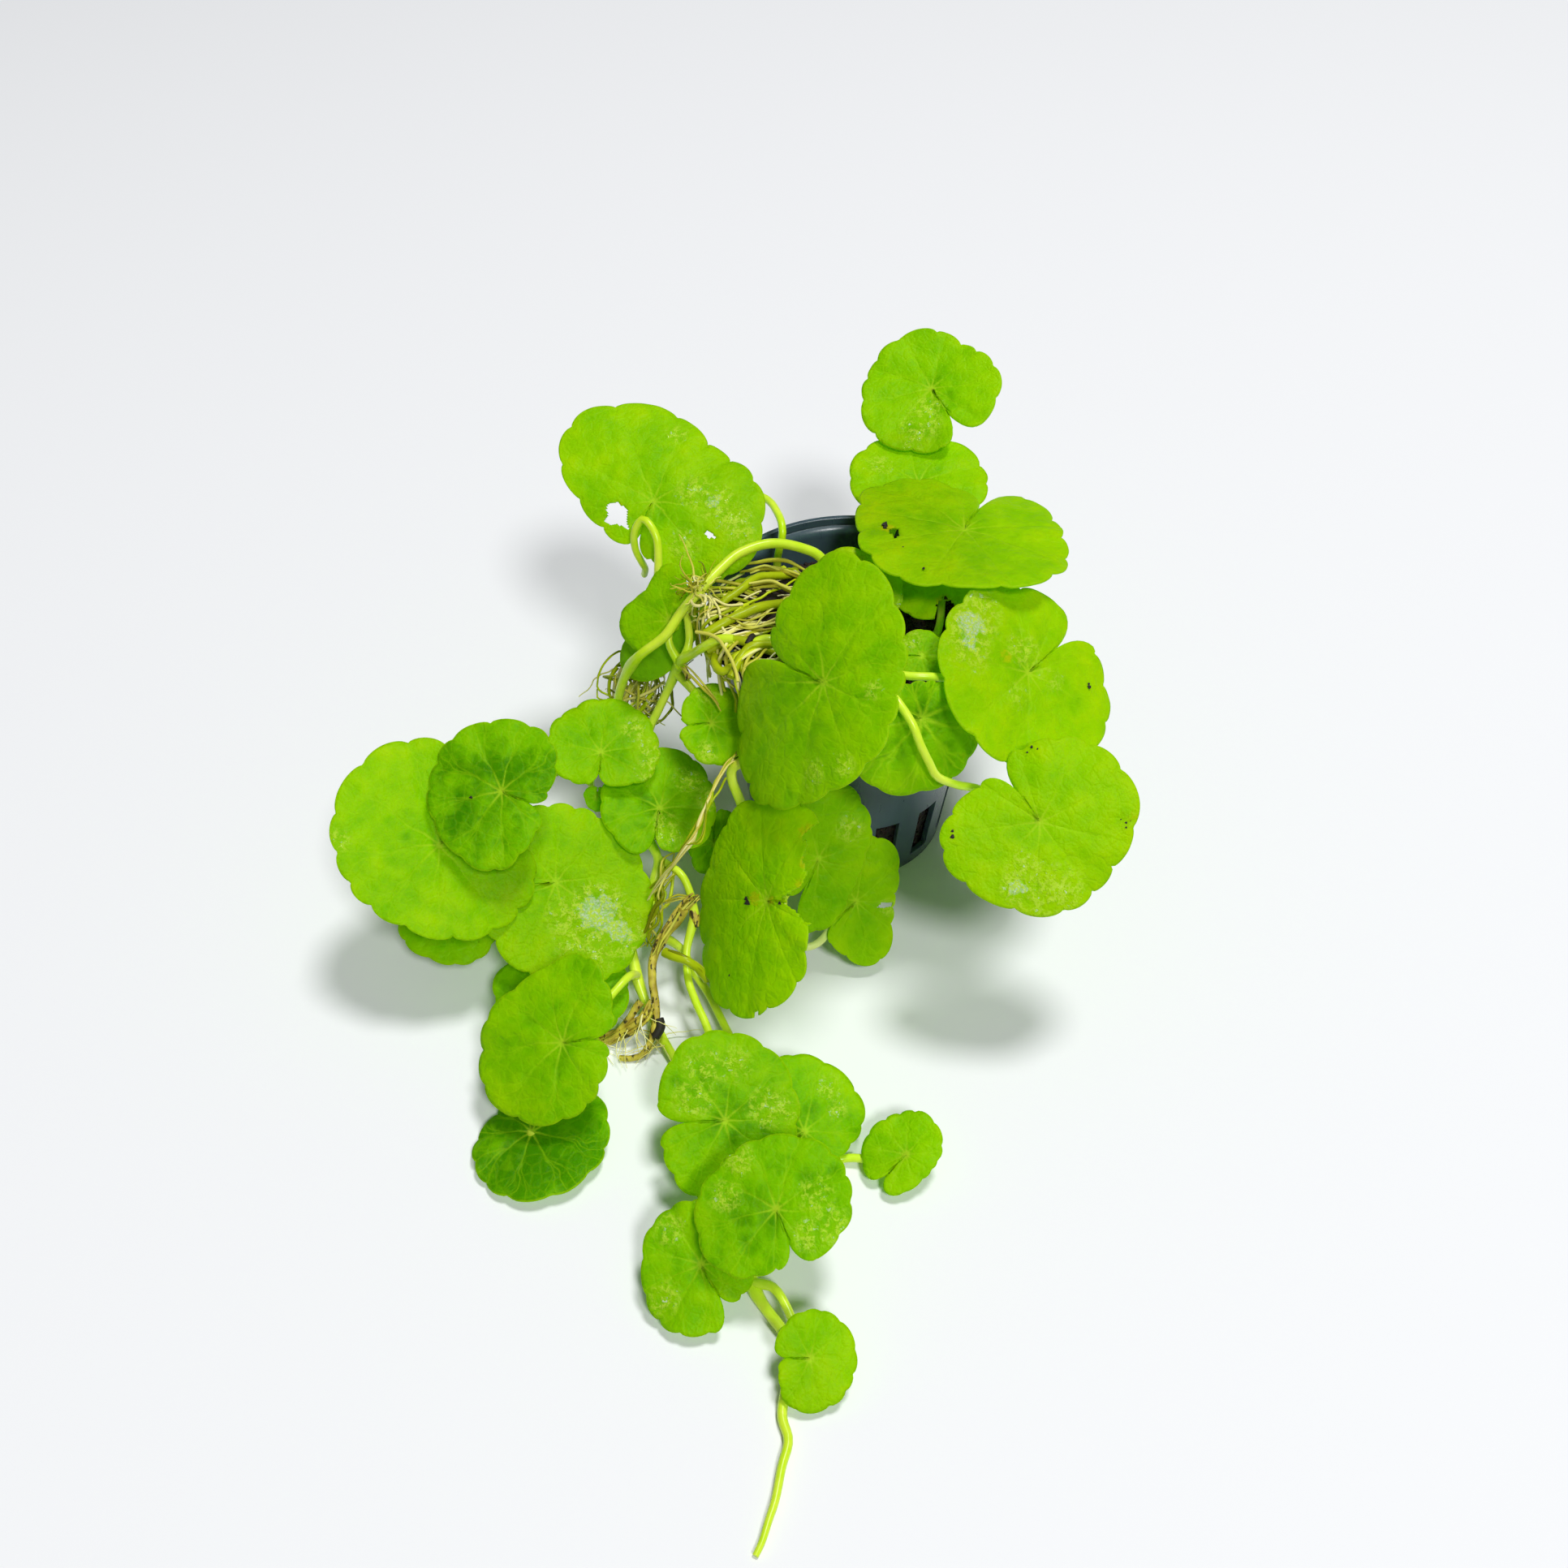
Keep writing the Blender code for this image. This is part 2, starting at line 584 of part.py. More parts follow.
def blade_turn(leaf):
    tilt, lean = math.radians(leaf["tilt"]), math.radians(leaf["lean"])
    normal = Vector((math.sin(tilt) * math.cos(lean), math.sin(tilt) * math.sin(lean), math.cos(tilt)))
    return Vector((0, 0, 1)).rotation_difference(normal).to_matrix(), normal


def edge_reach(leaf, turn):
    """Distance from the heart to the edge, turn degrees round from the middle of the sinus."""
    reach = leaf["reach"]
    count = len(reach)
    place = turn / 360 * count - 0.5
    index = math.floor(place)
    t = place - index
    a, b, c, d = (reach[min(max(index + k, 0), count - 1)] for k in (-1, 0, 1, 2))
    smooth = b + 0.5 * t * (c - a + t * (2 * a - 5 * b + 4 * c - d + t * (3 * (b - c) + d - a)))
    from_sinus = min(turn, 360 - turn) / leaf.get("gap", 12)
    if from_sinus < 1:
        opening = from_sinus ** leaf.get("gap_curve", 0.6)
        smooth = HEART_RADIUS + (smooth - HEART_RADIUS) * opening
    return smooth


def blade_height(leaf, x, y):
    size = sum(leaf["reach"]) / len(leaf["reach"])
    along = math.radians(leaf.get("roll_along", 0))
    across = y * math.cos(along) - x * math.sin(along)
    cup = leaf.get("cup", 0) * (x * x + y * y)
    return (cup + leaf.get("roll", 0) * across * across) / size ** 2


def edge_turns(leaf):
    """Headings of the edge points: close together in the sinus, even round the rest."""
    size = sum(leaf["reach"]) / len(leaf["reach"])
    count = 18 if size > 15 else 14 if size > 9 else 11 if size > 5 else 8
    gap = leaf.get("gap", 12)
    turns = [0, gap * 0.45, gap]
    turns += [gap + (360 - 2 * gap) * k / count for k in range(1, count)]
    return turns + [360 - gap, 360 - gap * 0.45]


def build_leaf(name, leaf):
    heart = Vector(leaf["heart"])
    turned, normal = blade_turn(leaf)
    turns = edge_turns(leaf)
    half = normal * (BLADE_THICKNESS / 2)
    bm = bmesh.new()
    sheets = []
    for side in (half, -half):
        rings = [[bm.verts.new(heart + side)]]
        for share in (0.5, 1.0):
            ring = []
            for turn in turns:
                heading = math.radians(leaf["sinus"] + turn)
                far = edge_reach(leaf, turn) * share
                x, y = far * math.cos(heading), far * math.sin(heading)
                flat = Vector((x, y, blade_height(leaf, x, y)))
                ring.append(bm.verts.new(heart + turned @ flat + side))
            rings.append(ring)
        sheets.append(rings)
    count = len(turns)
    for rings, flip in zip(sheets, (False, True)):
        for k in range(count):
            nearby = (k + 1) % count
            centre = (rings[0][0], rings[1][k], rings[1][nearby])
            outer = (rings[1][k], rings[2][k], rings[2][nearby], rings[1][nearby])
            for corners in (centre, outer):
                bm.faces.new(tuple(reversed(corners)) if flip else corners)
    top, bottom = sheets[0][2], sheets[1][2]
    for k in range(count):
        nearby = (k + 1) % count
        bm.faces.new((bottom[k], bottom[nearby], top[nearby], top[k]))
    blade = add_object(name, bm, "leaf")

    via = [Vector(p) for p in leaf["via"]]
    end = [heart - normal * leaf.get("approach", APPROACH), heart]
    if "foot" in leaf:
        foot = Vector(leaf["foot"])
    else:
        foot = beside(leaf["runner"], leaf["at"], (via + end)[0], STALK_RADIUS)
    path = smooth_path([foot, *via, *end], STALK_STEP)
    stalk = bmesh.new()
    add_tube(stalk, path, [STALK_RADIUS] * len(path), STALK_SIDES)
    boolean(blade, add_object(name + "_stalk", stalk, None, cutter=True), "UNION")
    return blade


def main():
    clear_scene()
    build_pot()
    build_medium()
    build_root_heap()
    build_root_tangle()
    for name, line in RUNNERS.items():
        build_line(name, line, "stem")
    for name, line in ROOTS.items():
        build_line(name, line, line["finish"])
    for name, leaf in LEAVES.items():
        build_leaf(name, leaf)


main()
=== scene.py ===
# Brazilian pennywort in a black net pot. Its runners spill over the rim and trail along the surface.
# Every size here is in millimetres and is turned to metres where a mesh is made.
# The origin is the middle of the pot's underside.

import functools
import math
import random

import bmesh
import bpy
from mathutils import Matrix, Vector


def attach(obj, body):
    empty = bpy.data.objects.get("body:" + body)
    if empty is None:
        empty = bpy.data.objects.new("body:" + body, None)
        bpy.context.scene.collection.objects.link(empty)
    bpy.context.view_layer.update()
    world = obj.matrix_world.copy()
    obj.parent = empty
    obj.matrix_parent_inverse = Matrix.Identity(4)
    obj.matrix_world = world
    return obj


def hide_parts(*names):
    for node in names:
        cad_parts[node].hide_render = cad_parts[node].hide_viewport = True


mm = 0.001
veinCount = 9  # main veins that fan out from a leaf's heart, in its shape and in its tissue

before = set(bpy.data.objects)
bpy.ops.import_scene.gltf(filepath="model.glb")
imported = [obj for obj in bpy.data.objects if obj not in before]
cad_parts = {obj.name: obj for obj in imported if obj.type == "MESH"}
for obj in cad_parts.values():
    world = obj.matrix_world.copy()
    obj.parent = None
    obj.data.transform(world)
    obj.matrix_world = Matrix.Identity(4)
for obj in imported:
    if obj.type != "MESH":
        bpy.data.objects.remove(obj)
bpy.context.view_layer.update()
print("frame loaded:", len(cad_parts), "nodes")


# Small helpers

def toLinear(hexColour):
    # An sRGB hex colour as the linear colour that a shader socket wants
    parts = [int(hexColour[i:i + 2], 16) / 255 for i in (1, 3, 5)]
    return (*[c / 12.92 if c <= 0.04045 else ((c + 0.055) / 1.055) ** 2.4 for c in parts], 1.0)


mainChoices = {
    "Math": "operation", "VectorMath": "operation", "Compare": "operation", "Mix": "data_type",
    "RandomValue": "data_type", "MapRange": "interpolation_type", "Attribute": "attribute_name",
    "TexNoise": "noise_dimensions", "TexVoronoi": "feature", "StoreNamedAttribute": "domain",
    "DeleteGeometry": "domain", "CurveSplineType": "spline_type", "ResampleCurve": "mode",
}


def fill(node, values):
    # Sets or links inputs in use, by number or name. All of a list is linked to one input.
    used = [socket for socket in node.inputs if socket.enabled]
    for key, value in values.items():
        socket = used[key] if isinstance(key, int) else next(s for s in used if s.name == key)
        for part in value if isinstance(value, list) else [value]:
            if isinstance(part, bpy.types.NodeSocket):
                node.id_data.links.new(part, socket)
            else:
                socket.default_value = toLinear(part) if str(part).startswith("#") else part


def addNode(tree, kind, *values, out=0, **named):
    # Adds a node by its kind and main choice, such as "Mix RGBA". A choice alone, such as "ADD", is
    # a Math node's. The values fill the inputs in use, in their order. Of the named values, the
    # lower-case names are settings and the capitalised names are inputs. Gives back one output.
    kind, _, choice = (f"Math {kind}" if kind.isupper() else kind).partition(" ")
    families = ("ShaderNode", "GeometryNode", "FunctionNode", "Node")
    node = tree.nodes.new(next(name + kind for name in families if hasattr(bpy.types, name + kind)))
    if choice:
        setattr(node, mainChoices[kind], choice)
    for name in [name for name in named if name.islower()]:
        setattr(node, name, named.pop(name))
    fill(node, dict(enumerate(values)) | named)
    outputs = [socket for socket in node.outputs if socket.enabled]
    return outputs[out] if outputs else node


def newTree(name, floats, whole=()):
    # A geometry tree with named inputs. Gives the tree, its own addNode and its input sockets.
    tree = bpy.data.node_groups.new(name, "GeometryNodeTree")
    kinds = {"Geometry": "Geometry"} | dict.fromkeys(floats, "Float") | dict.fromkeys(whole, "Int")
    for label, kind in (kinds | {"Material": "Material"}).items():
        tree.interface.new_socket(label, in_out="INPUT", socket_type="NodeSocket" + kind)
    tree.interface.new_socket("Geometry", in_out="OUTPUT", socket_type="NodeSocketGeometry")
    start = tree.nodes.new("NodeGroupInput")
    return tree, functools.partial(addNode, tree), {socket.name: socket for socket in start.outputs}


def endTree(add, geometry, material):
    # The last steps of every tree: real geometry with its material
    add("GroupOutput", add("SetMaterial", add("RealizeInstances", geometry), Material=material))


def runTree(source, tree, values):
    # Runs a tree on an object and gives the plain mesh object that comes out
    modifier = source.modifiers.new(tree.name, "NODES")
    modifier.node_group = tree
    for item in tree.interface.items_tree:
        if item.in_out == "INPUT" and item.name in values:
            modifier[item.identifier] = values[item.name]
    bpy.context.view_layer.update()
    evaluated = source.evaluated_get(bpy.context.evaluated_depsgraph_get())
    mesh = bpy.data.meshes.new_from_object(evaluated, preserve_all_data_layers=True,
                                           depsgraph=bpy.context.evaluated_depsgraph_get())
    made = bpy.data.objects.new(source.name + "Made", mesh)
    bpy.context.scene.collection.objects.link(made)
    bpy.data.objects.remove(source, do_unlink=True)
    return made


def newObject(name, data):
    made = bpy.data.objects.new(name, data)
    bpy.context.scene.collection.objects.link(made)
    return made


def newCurve(name, paths):
    # One poly curve with a spline for each path of (point, radius) pairs
    curve = bpy.data.curves.new(name, "CURVE")
    curve.dimensions = "3D"
    for path in paths:
        spline = curve.splines.new("POLY")
        spline.points.add(len(path) - 1)
        for target, (point, radius) in zip(spline.points, path):
            target.co = (point[0] * mm, point[1] * mm, point[2] * mm, 1)
            target.radius = radius * mm
    return newObject(name, curve)


def newMesh(name, bm, material):
    mesh = bpy.data.meshes.new(name)
    bm.to_mesh(mesh)
    bm.free()
    mesh.materials.append(materials[material])
    return newObject(name, mesh)


def keepPiece(parts, node):
    # Joins parts, which keep their materials, and puts the piece in the place of its CAD node
    piece = parts[0]
    if len(parts) > 1:
        with bpy.context.temp_override(active_object=piece, selected_editable_objects=parts,
                                       selected_objects=parts):
            bpy.ops.object.join()
    words = node.split("_")
    piece.name = words[0] + "".join(word.capitalize() for word in words[1:])
    piece.data.name = piece.name
    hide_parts(node)
    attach(piece, "root")


# Materials

def newMaterial(name):
    # A material, its own addNode and its shader
    material = bpy.data.materials.new(name)
    material.use_nodes = True
    tree = material.node_tree
    return material, functools.partial(addNode, tree), tree.nodes["Principled BSDF"]


def leafTissue():
    # Living leaf: thin wet green tissue with a waxy skin. Light comes through it, nine pale veins
    # fan out from a yellow heart and fork, and the skin between them is finely quilted.
    # The names that end in Scale count a pattern's waves in one millimetre.
    look = {
        "dark": "#4c8c00", "deep": "#8ed000", "bright": "#b6e800", "yellow": "#d6f400",
        "heart": "#dcf634", "vein": "#cdf61c", "rim": "#c6ee10", "under": "#9cd81e",
        "through": "#b6ea00", "old": "#e6da12", "dead": "#2c1e06", "paintedFilmSheen": "#c8f01e",
        "paintedSparkle": "#ecff52", "glint": "#fffee0", "silver": "#f4fae4", "veinWidth": 0.42,
        "veinTip": 0.18, "cell": 2.1, "grain": 0.55, "rimGain": 0.2, "roughness": 0.38, "shine": 0.07,
        "wetRoughness": 0.12, "coatRoughness": 0.06, "throughShare": 0.52, "bendScale": 0.16,
        "filmScale": 0.75, "glintScale": 0.95, "streakScale": 2.4, "patchScale": 0.13,
        "swellScale": 0.33, "raggedScale": 1.5,
    }
    material, add, shader = newMaterial("leafTissue")
    flat = add("Attribute flat", out=1)
    share, tone, wet, mark, side, ridge = (
        add("Attribute " + name, out=2) for name in ("share", "tone", "wet", "mark", "side", "ridge"))

    # Heading about the heart, bent a little by noise, so that no vein is quite straight
    x, y = add("SeparateXYZ", flat).node.outputs[:2]
    far = add("VectorMath LENGTH", add("CombineXYZ", x, y))
    bend = add("MULTIPLY_ADD", add("TexNoise", flat, look["bendScale"], 2.0), 0.5, -0.25)
    angle = add("ADD", add("ARCTAN2", y, x), bend)
    inside = add("FRACT", add("MULTIPLY", angle, veinCount / (2 * math.pi)))
    away = add("ABSOLUTE", add("SUBTRACT", inside, 0.5))
    away = add("MULTIPLY", away, 2 * math.pi / veinCount)

    # Each fork is where the distance to the vein before it equals a spread that grows to the rim
    broad = add("MULTIPLY_ADD", ridge, 1.1, 1.0)
    width = add("MapRange", share, 0.0, 1.0, look["veinWidth"], look["veinTip"])
    width = add("MULTIPLY", width, broad)
    lines = []
    for begins, spread, strength in ((0.0, 0.0, 1.0), (0.4, 0.19, 0.8), (0.68, 0.16, 0.6)):
        away = add("SUBTRACT", away, add("MapRange", share, begins, 1.0, 0.0, spread))
        gap = add("MULTIPLY", add("ABSOLUTE", away), far)
        lines.append(add("MULTIPLY", add("MapRange SMOOTHSTEP", gap, 0.0, width, strength, 0.0),
                         add("MapRange", share, begins, begins + 0.05, 0.0, 1.0)))
    veins = add("MAXIMUM", add("MAXIMUM", lines[0], lines[1]), lines[2])
    cells = add("TexVoronoi DISTANCE_TO_EDGE", flat, 1 / look["cell"])
    net = add("MapRange SMOOTHSTEP", cells, 0.0, 0.16, 1.0, 0.0)

    # Water film: broken patches; in them a lighter yellow wash that is painted sheen, pale squiggles and
    # glints that are painted highlights, and a silvery sheet where it is thickest that is a painted
    # reflection
    film = add("TexNoise", flat, look["filmScale"], 3.0, 0.6)
    broken = add("MapRange SMOOTHSTEP", film, 0.42, 0.56, 0.0, 1.0)
    wetness = add("MULTIPLY", broken, wet, use_clamp=True)
    points = add("TexNoise", flat, look["glintScale"], 2.0, 0.6)
    curls = add("ABSOLUTE", add("SUBTRACT", points, 0.5))
    glint = add("MULTIPLY", add("MapRange", points, 0.65, 0.69, 0.0, 1.0), wetness)
    paintedSparkle = add("MULTIPLY", add("MapRange", curls, 0.03, 0.085, 1.0, 0.0), wetness)
    paintedSheenAmount = add("MULTIPLY", wetness, 0.42)
    deep = add("MULTIPLY", add("MULTIPLY_ADD", film, 0.9, 0.52), wet)
    streaks = add("TexNoise", flat, look["streakScale"], 2.0)
    streaks = add("MapRange", streaks, 0.4, 0.62, 0.3, 1.0)
    silver = add("MULTIPLY", add("MapRange SMOOTHSTEP", deep, 1.02, 1.2, 0.0, 0.95), streaks)

    # Colour: green patches, then tone, heart, veins, rim, underside, old or dead spots, and the water
    # film's painted sheen, highlights and reflection. A leaf's tone is partly its own colour and partly
    # painted shade or painted light.
    patch = add("TexNoise", flat, look["patchScale"], 3.0)
    patch = add("MapRange", patch, 0.32, 0.7, 0.08, 0.42)
    rise = add("MULTIPLY_ADD", share, look["rimGain"], -0.5 * look["rimGain"])
    swellsAndShade = add("TexNoise", flat, look["swellScale"], 3.0)
    # The swells that raise the skin also lighten the colour on its humps and darken it in its hollows:
    # painted shade
    amount = add("ADD", add("ADD", patch, add("MULTIPLY_ADD", swellsAndShade, 0.7, -0.35)), tone)
    colour = add("ValToRGB", add("ADD", amount, rise, use_clamp=True))
    stops = colour.node.color_ramp.elements
    stops[0].color = toLinear(look["dark"])
    stops[1].color = toLinear(look["yellow"])
    stops.new(0.26).color = toLinear(look["deep"])
    stops.new(0.62).color = toLinear(look["bright"])
    veinRay = add("MULTIPLY", add("MapRange SMOOTHSTEP", share, 0.03, 0.34, 0.6, 0.0), veins)
    glow = add("MAXIMUM", add("MapRange SMOOTHSTEP", far, 0.35, 1.15, 0.85, 0.0), veinRay)
    drawn = add("MULTIPLY", veins, add("MULTIPLY_ADD", ridge, 0.25, 0.38))
    drawn = add("MAXIMUM", drawn, add("MULTIPLY", net, 0.12))
    rim = add("MapRange SMOOTHSTEP", share, 0.975, 1.0, 0.0, 0.7)
    below = add("MULTIPLY", side, 0.55)
    ragged = add("TexNoise", flat, look["raggedScale"], 3.0)
    ragged = add("MULTIPLY", add("MULTIPLY", ragged, 2.0), mark)
    old = add("MapRange", ragged, 0.32, 0.5, 0.0, 0.7)
    dead = add("MapRange", ragged, 0.82, 0.95, 0.0, 0.95)
    # The film's wash, silvery sheet, squiggles and glints mixed in here are painted sheen, a painted
    # reflection and painted highlights
    for factor, name in ((drawn, "vein"), (glow, "heart"), (below, "under"), (rim, "rim"), (old, "old"),
                         (dead, "dead"), (paintedSheenAmount, "paintedFilmSheen"), (silver, "silver"), (paintedSparkle, "paintedSparkle"),
                         (glint, "glint")):
        colour = add("Mix RGBA", factor, colour, look[name])

    # Skin: sunk veins, quilted cells and a fine grain, and a raised film where it is wet
    rough = add("MapRange", wetness, 0.0, 1.0, look["roughness"], look["wetRoughness"])
    sink = add("MULTIPLY", veins, add("MULTIPLY_ADD", ridge, 1.2, -0.1))
    height = add("ADD", sink, add("TexNoise", flat, 1 / look["grain"], 2.0))
    height = add("MULTIPLY_ADD", swellsAndShade, 5.0, add("MULTIPLY_ADD", net, -0.45, height))
    bump = add("Bump", 0.5, 0.00026, Height=add("MULTIPLY_ADD", wetness, 1.3, height))
    fill(shader, {
        "Base Color": colour, "Roughness": rough, "Normal": bump, "IOR": 1.45,
        "Specular IOR Level": look["shine"], "Coat Weight": add("MULTIPLY", wetness, 0.3),
        "Coat Roughness": look["coatRoughness"], "Coat IOR": 1.4, "Coat Normal": bump,
    })
    through = add("BsdfTranslucent", look["through"])
    mixed = add("MixShader", look["throughShare"], shader.outputs[0], through)
    fill(material.node_tree.nodes["Material Output"], {0: mixed})
    return material


def stemSkin():
    # Juicy green stem: smooth and half see-through, with broad pale patches and a faint fine mottle
    look = {"green": "#c2ea00", "pale": "#e2f44a", "mottle": 1.6, "patch": 9, "roughness": 0.28}
    material, add, shader = newMaterial("stemSkin")
    place = add("TexCoord", out=3)
    fine = add("TexNoise", place, 1 / (look["mottle"] * mm))
    amount = add("MULTIPLY_ADD", fine, 0.4, add("TexNoise", place, 1 / (look["patch"] * mm), 3.0))
    amount = add("MapRange", amount, 0.45, 0.95, 0.0, 1.0)
    colour = add("Mix RGBA", amount, look["green"], look["pale"])
    fill(shader, {
        "Base Color": colour, "Normal": add("Bump", 0.25, 0.0001, Height=fine),
        "Roughness": look["roughness"], "IOR": 1.42, "Subsurface Weight": 0.2,
        "Subsurface Radius": (0.0008, 0.0009, 0.0002), "Subsurface Scale": 1.0,
    })
    return material


def rootSkin(name, colours, roughness):
    # Washed root: smooth pale skin, and each strand has its own shade from the list of colours
    material, add, shader = newMaterial(name)
    place = add("TexCoord", out=3)
    strand = add("Attribute strand", out=2)
    amount = add("MULTIPLY_ADD", add("TexNoise", place, 1 / (4 * mm), 3.0), 0.5, strand)
    ramp = add("ValToRGB", add("SUBTRACT", amount, 0.25, use_clamp=True))
    stops = ramp.node.color_ramp.elements
    last = len(colours) - 1
    for index in range(1, last):
        stops.new(index / last)
    for index, colour in enumerate(colours):
        stops[index].color = toLinear(colour)
    bump = add("Bump", 0.4, 0.0001, Height=add("TexNoise", place, 1 / (0.7 * mm), 2.0))
    fill(shader, {"Base Color": ramp, "Normal": bump, "Roughness": roughness, "Specular IOR Level": 0.18})
    return material


def agedRoot():
    # Old brown root: yellow-brown bark with black flecks that run along it
    look = {"bark": "#d6c840", "dark": "#a08a24", "fleck": "#1c1208", "fleckSize": 0.7, "patch": 2.5}
    material, add, shader = newMaterial("agedRoot")
    place = add("TexCoord", out=3)
    patch = add("MapRange", add("TexNoise", place, 1 / (look["patch"] * mm), 4.0), 0.35, 0.65, 0.0, 1.0)
    stretch = add("Mapping", place, Scale=(1.0, 0.35, 0.6))
    spots = add("TexNoise", stretch, 1 / (look["fleckSize"] * mm), 3.0)
    fleck = add("MapRange", spots, 0.55, 0.6, 0.0, 0.92)
    colour = add("Mix RGBA", patch, look["bark"], look["dark"])
    fill(shader, {
        "Base Color": add("Mix RGBA", fleck, colour, look["fleck"]),
        "Normal": add("Bump", 0.7, 0.0002, Height=spots), "Roughness": 0.6,
    })
    return material


def mouldedPlastic():
    # Black polypropylene, injection moulded: smooth and glossy, with fine scuffs and a faint grain
    look = {"black": "#3a4c56", "worn": "#52666f", "grain": 0.5, "scuff": 2.2, "roughness": 0.26}
    material, add, shader = newMaterial("mouldedPlastic")
    place = add("TexCoord", out=3)
    scuffs = add("TexNoise", add("Mapping", place, Scale=(1.0, 1.0, 0.12)), 1 / (look["scuff"] * mm), 4.0)
    worn = add("MapRange", scuffs, 0.4, 0.8, 0.1, 0.3)
    colour = add("Mix RGBA", worn, look["black"], look["worn"])
    bump = add("Bump", 0.15, 0.00008, Height=add("TexNoise", place, 1 / (look["grain"] * mm), 2.0))
    fill(shader, {
        "Base Color": colour, "Roughness": add("MapRange", scuffs, 0.3, 0.8, look["roughness"], 0.34),
        "Normal": bump, "IOR": 1.49,
    })
    return material


def dampPeat():
    # Damp peat and coir: dark brown crumbs, matte, a few of them reddish
    look = {"dark": "#0c0704", "brown": "#1c1107", "red": "#30190c", "crumb": 1.3, "patch": 3}
    material, add, shader = newMaterial("dampPeat")
    place = add("TexCoord", out=3)
    crumbs = add("TexVoronoi", place, 1 / (look["crumb"] * mm))
    mix = add("MapRange", add("TexNoise", place, 1 / (look["patch"] * mm), 4.0), 0.35, 0.7, 0.0, 1.0)
    colour = add("Mix RGBA", mix, look["dark"], look["brown"])
    colour = add("Mix RGBA", add("MapRange", crumbs, 0.45, 0.8, 0.0, 0.7), colour, look["red"])
    fill(shader, {
        "Base Color": colour, "Normal": add("Bump", 0.9, 0.0004, Height=crumbs), "Roughness": 0.85,
    })
    return material


def deadSpeck():
    # A crumb of dirt or dead tissue stuck to a leaf: nearly black, matte
    material, add, shader = newMaterial("deadSpeck")
    fill(shader, {"Base Color": "#1b1407", "Roughness": 0.7})
    return material


materials = {
    "leaf": leafTissue(),
    "stem": stemSkin(),
    "root": rootSkin("washedRoot", ("#f4f0a8", "#e6e272", "#c8c63c", "#a09a20"), 0.42),
    "fineRoot": rootSkin("fineRoot", ("#fbf6cc", "#f4eeae", "#e4dc7c", "#c8be4a"), 0.42),
    "oldStem": rootSkin("oldStem", ("#d6e420", "#b8cc12", "#96a60a", "#767e0a"), 0.3),
    "paleStem": rootSkin("paleStem", ("#f6f8d2", "#e8efa8", "#d6e27a", "#c2d454"), 0.3),
    "brownRoot": agedRoot(),
    "plastic": mouldedPlastic(),
    "peat": dampPeat(),
    "speck": deadSpeck(),
}
print("materials made")
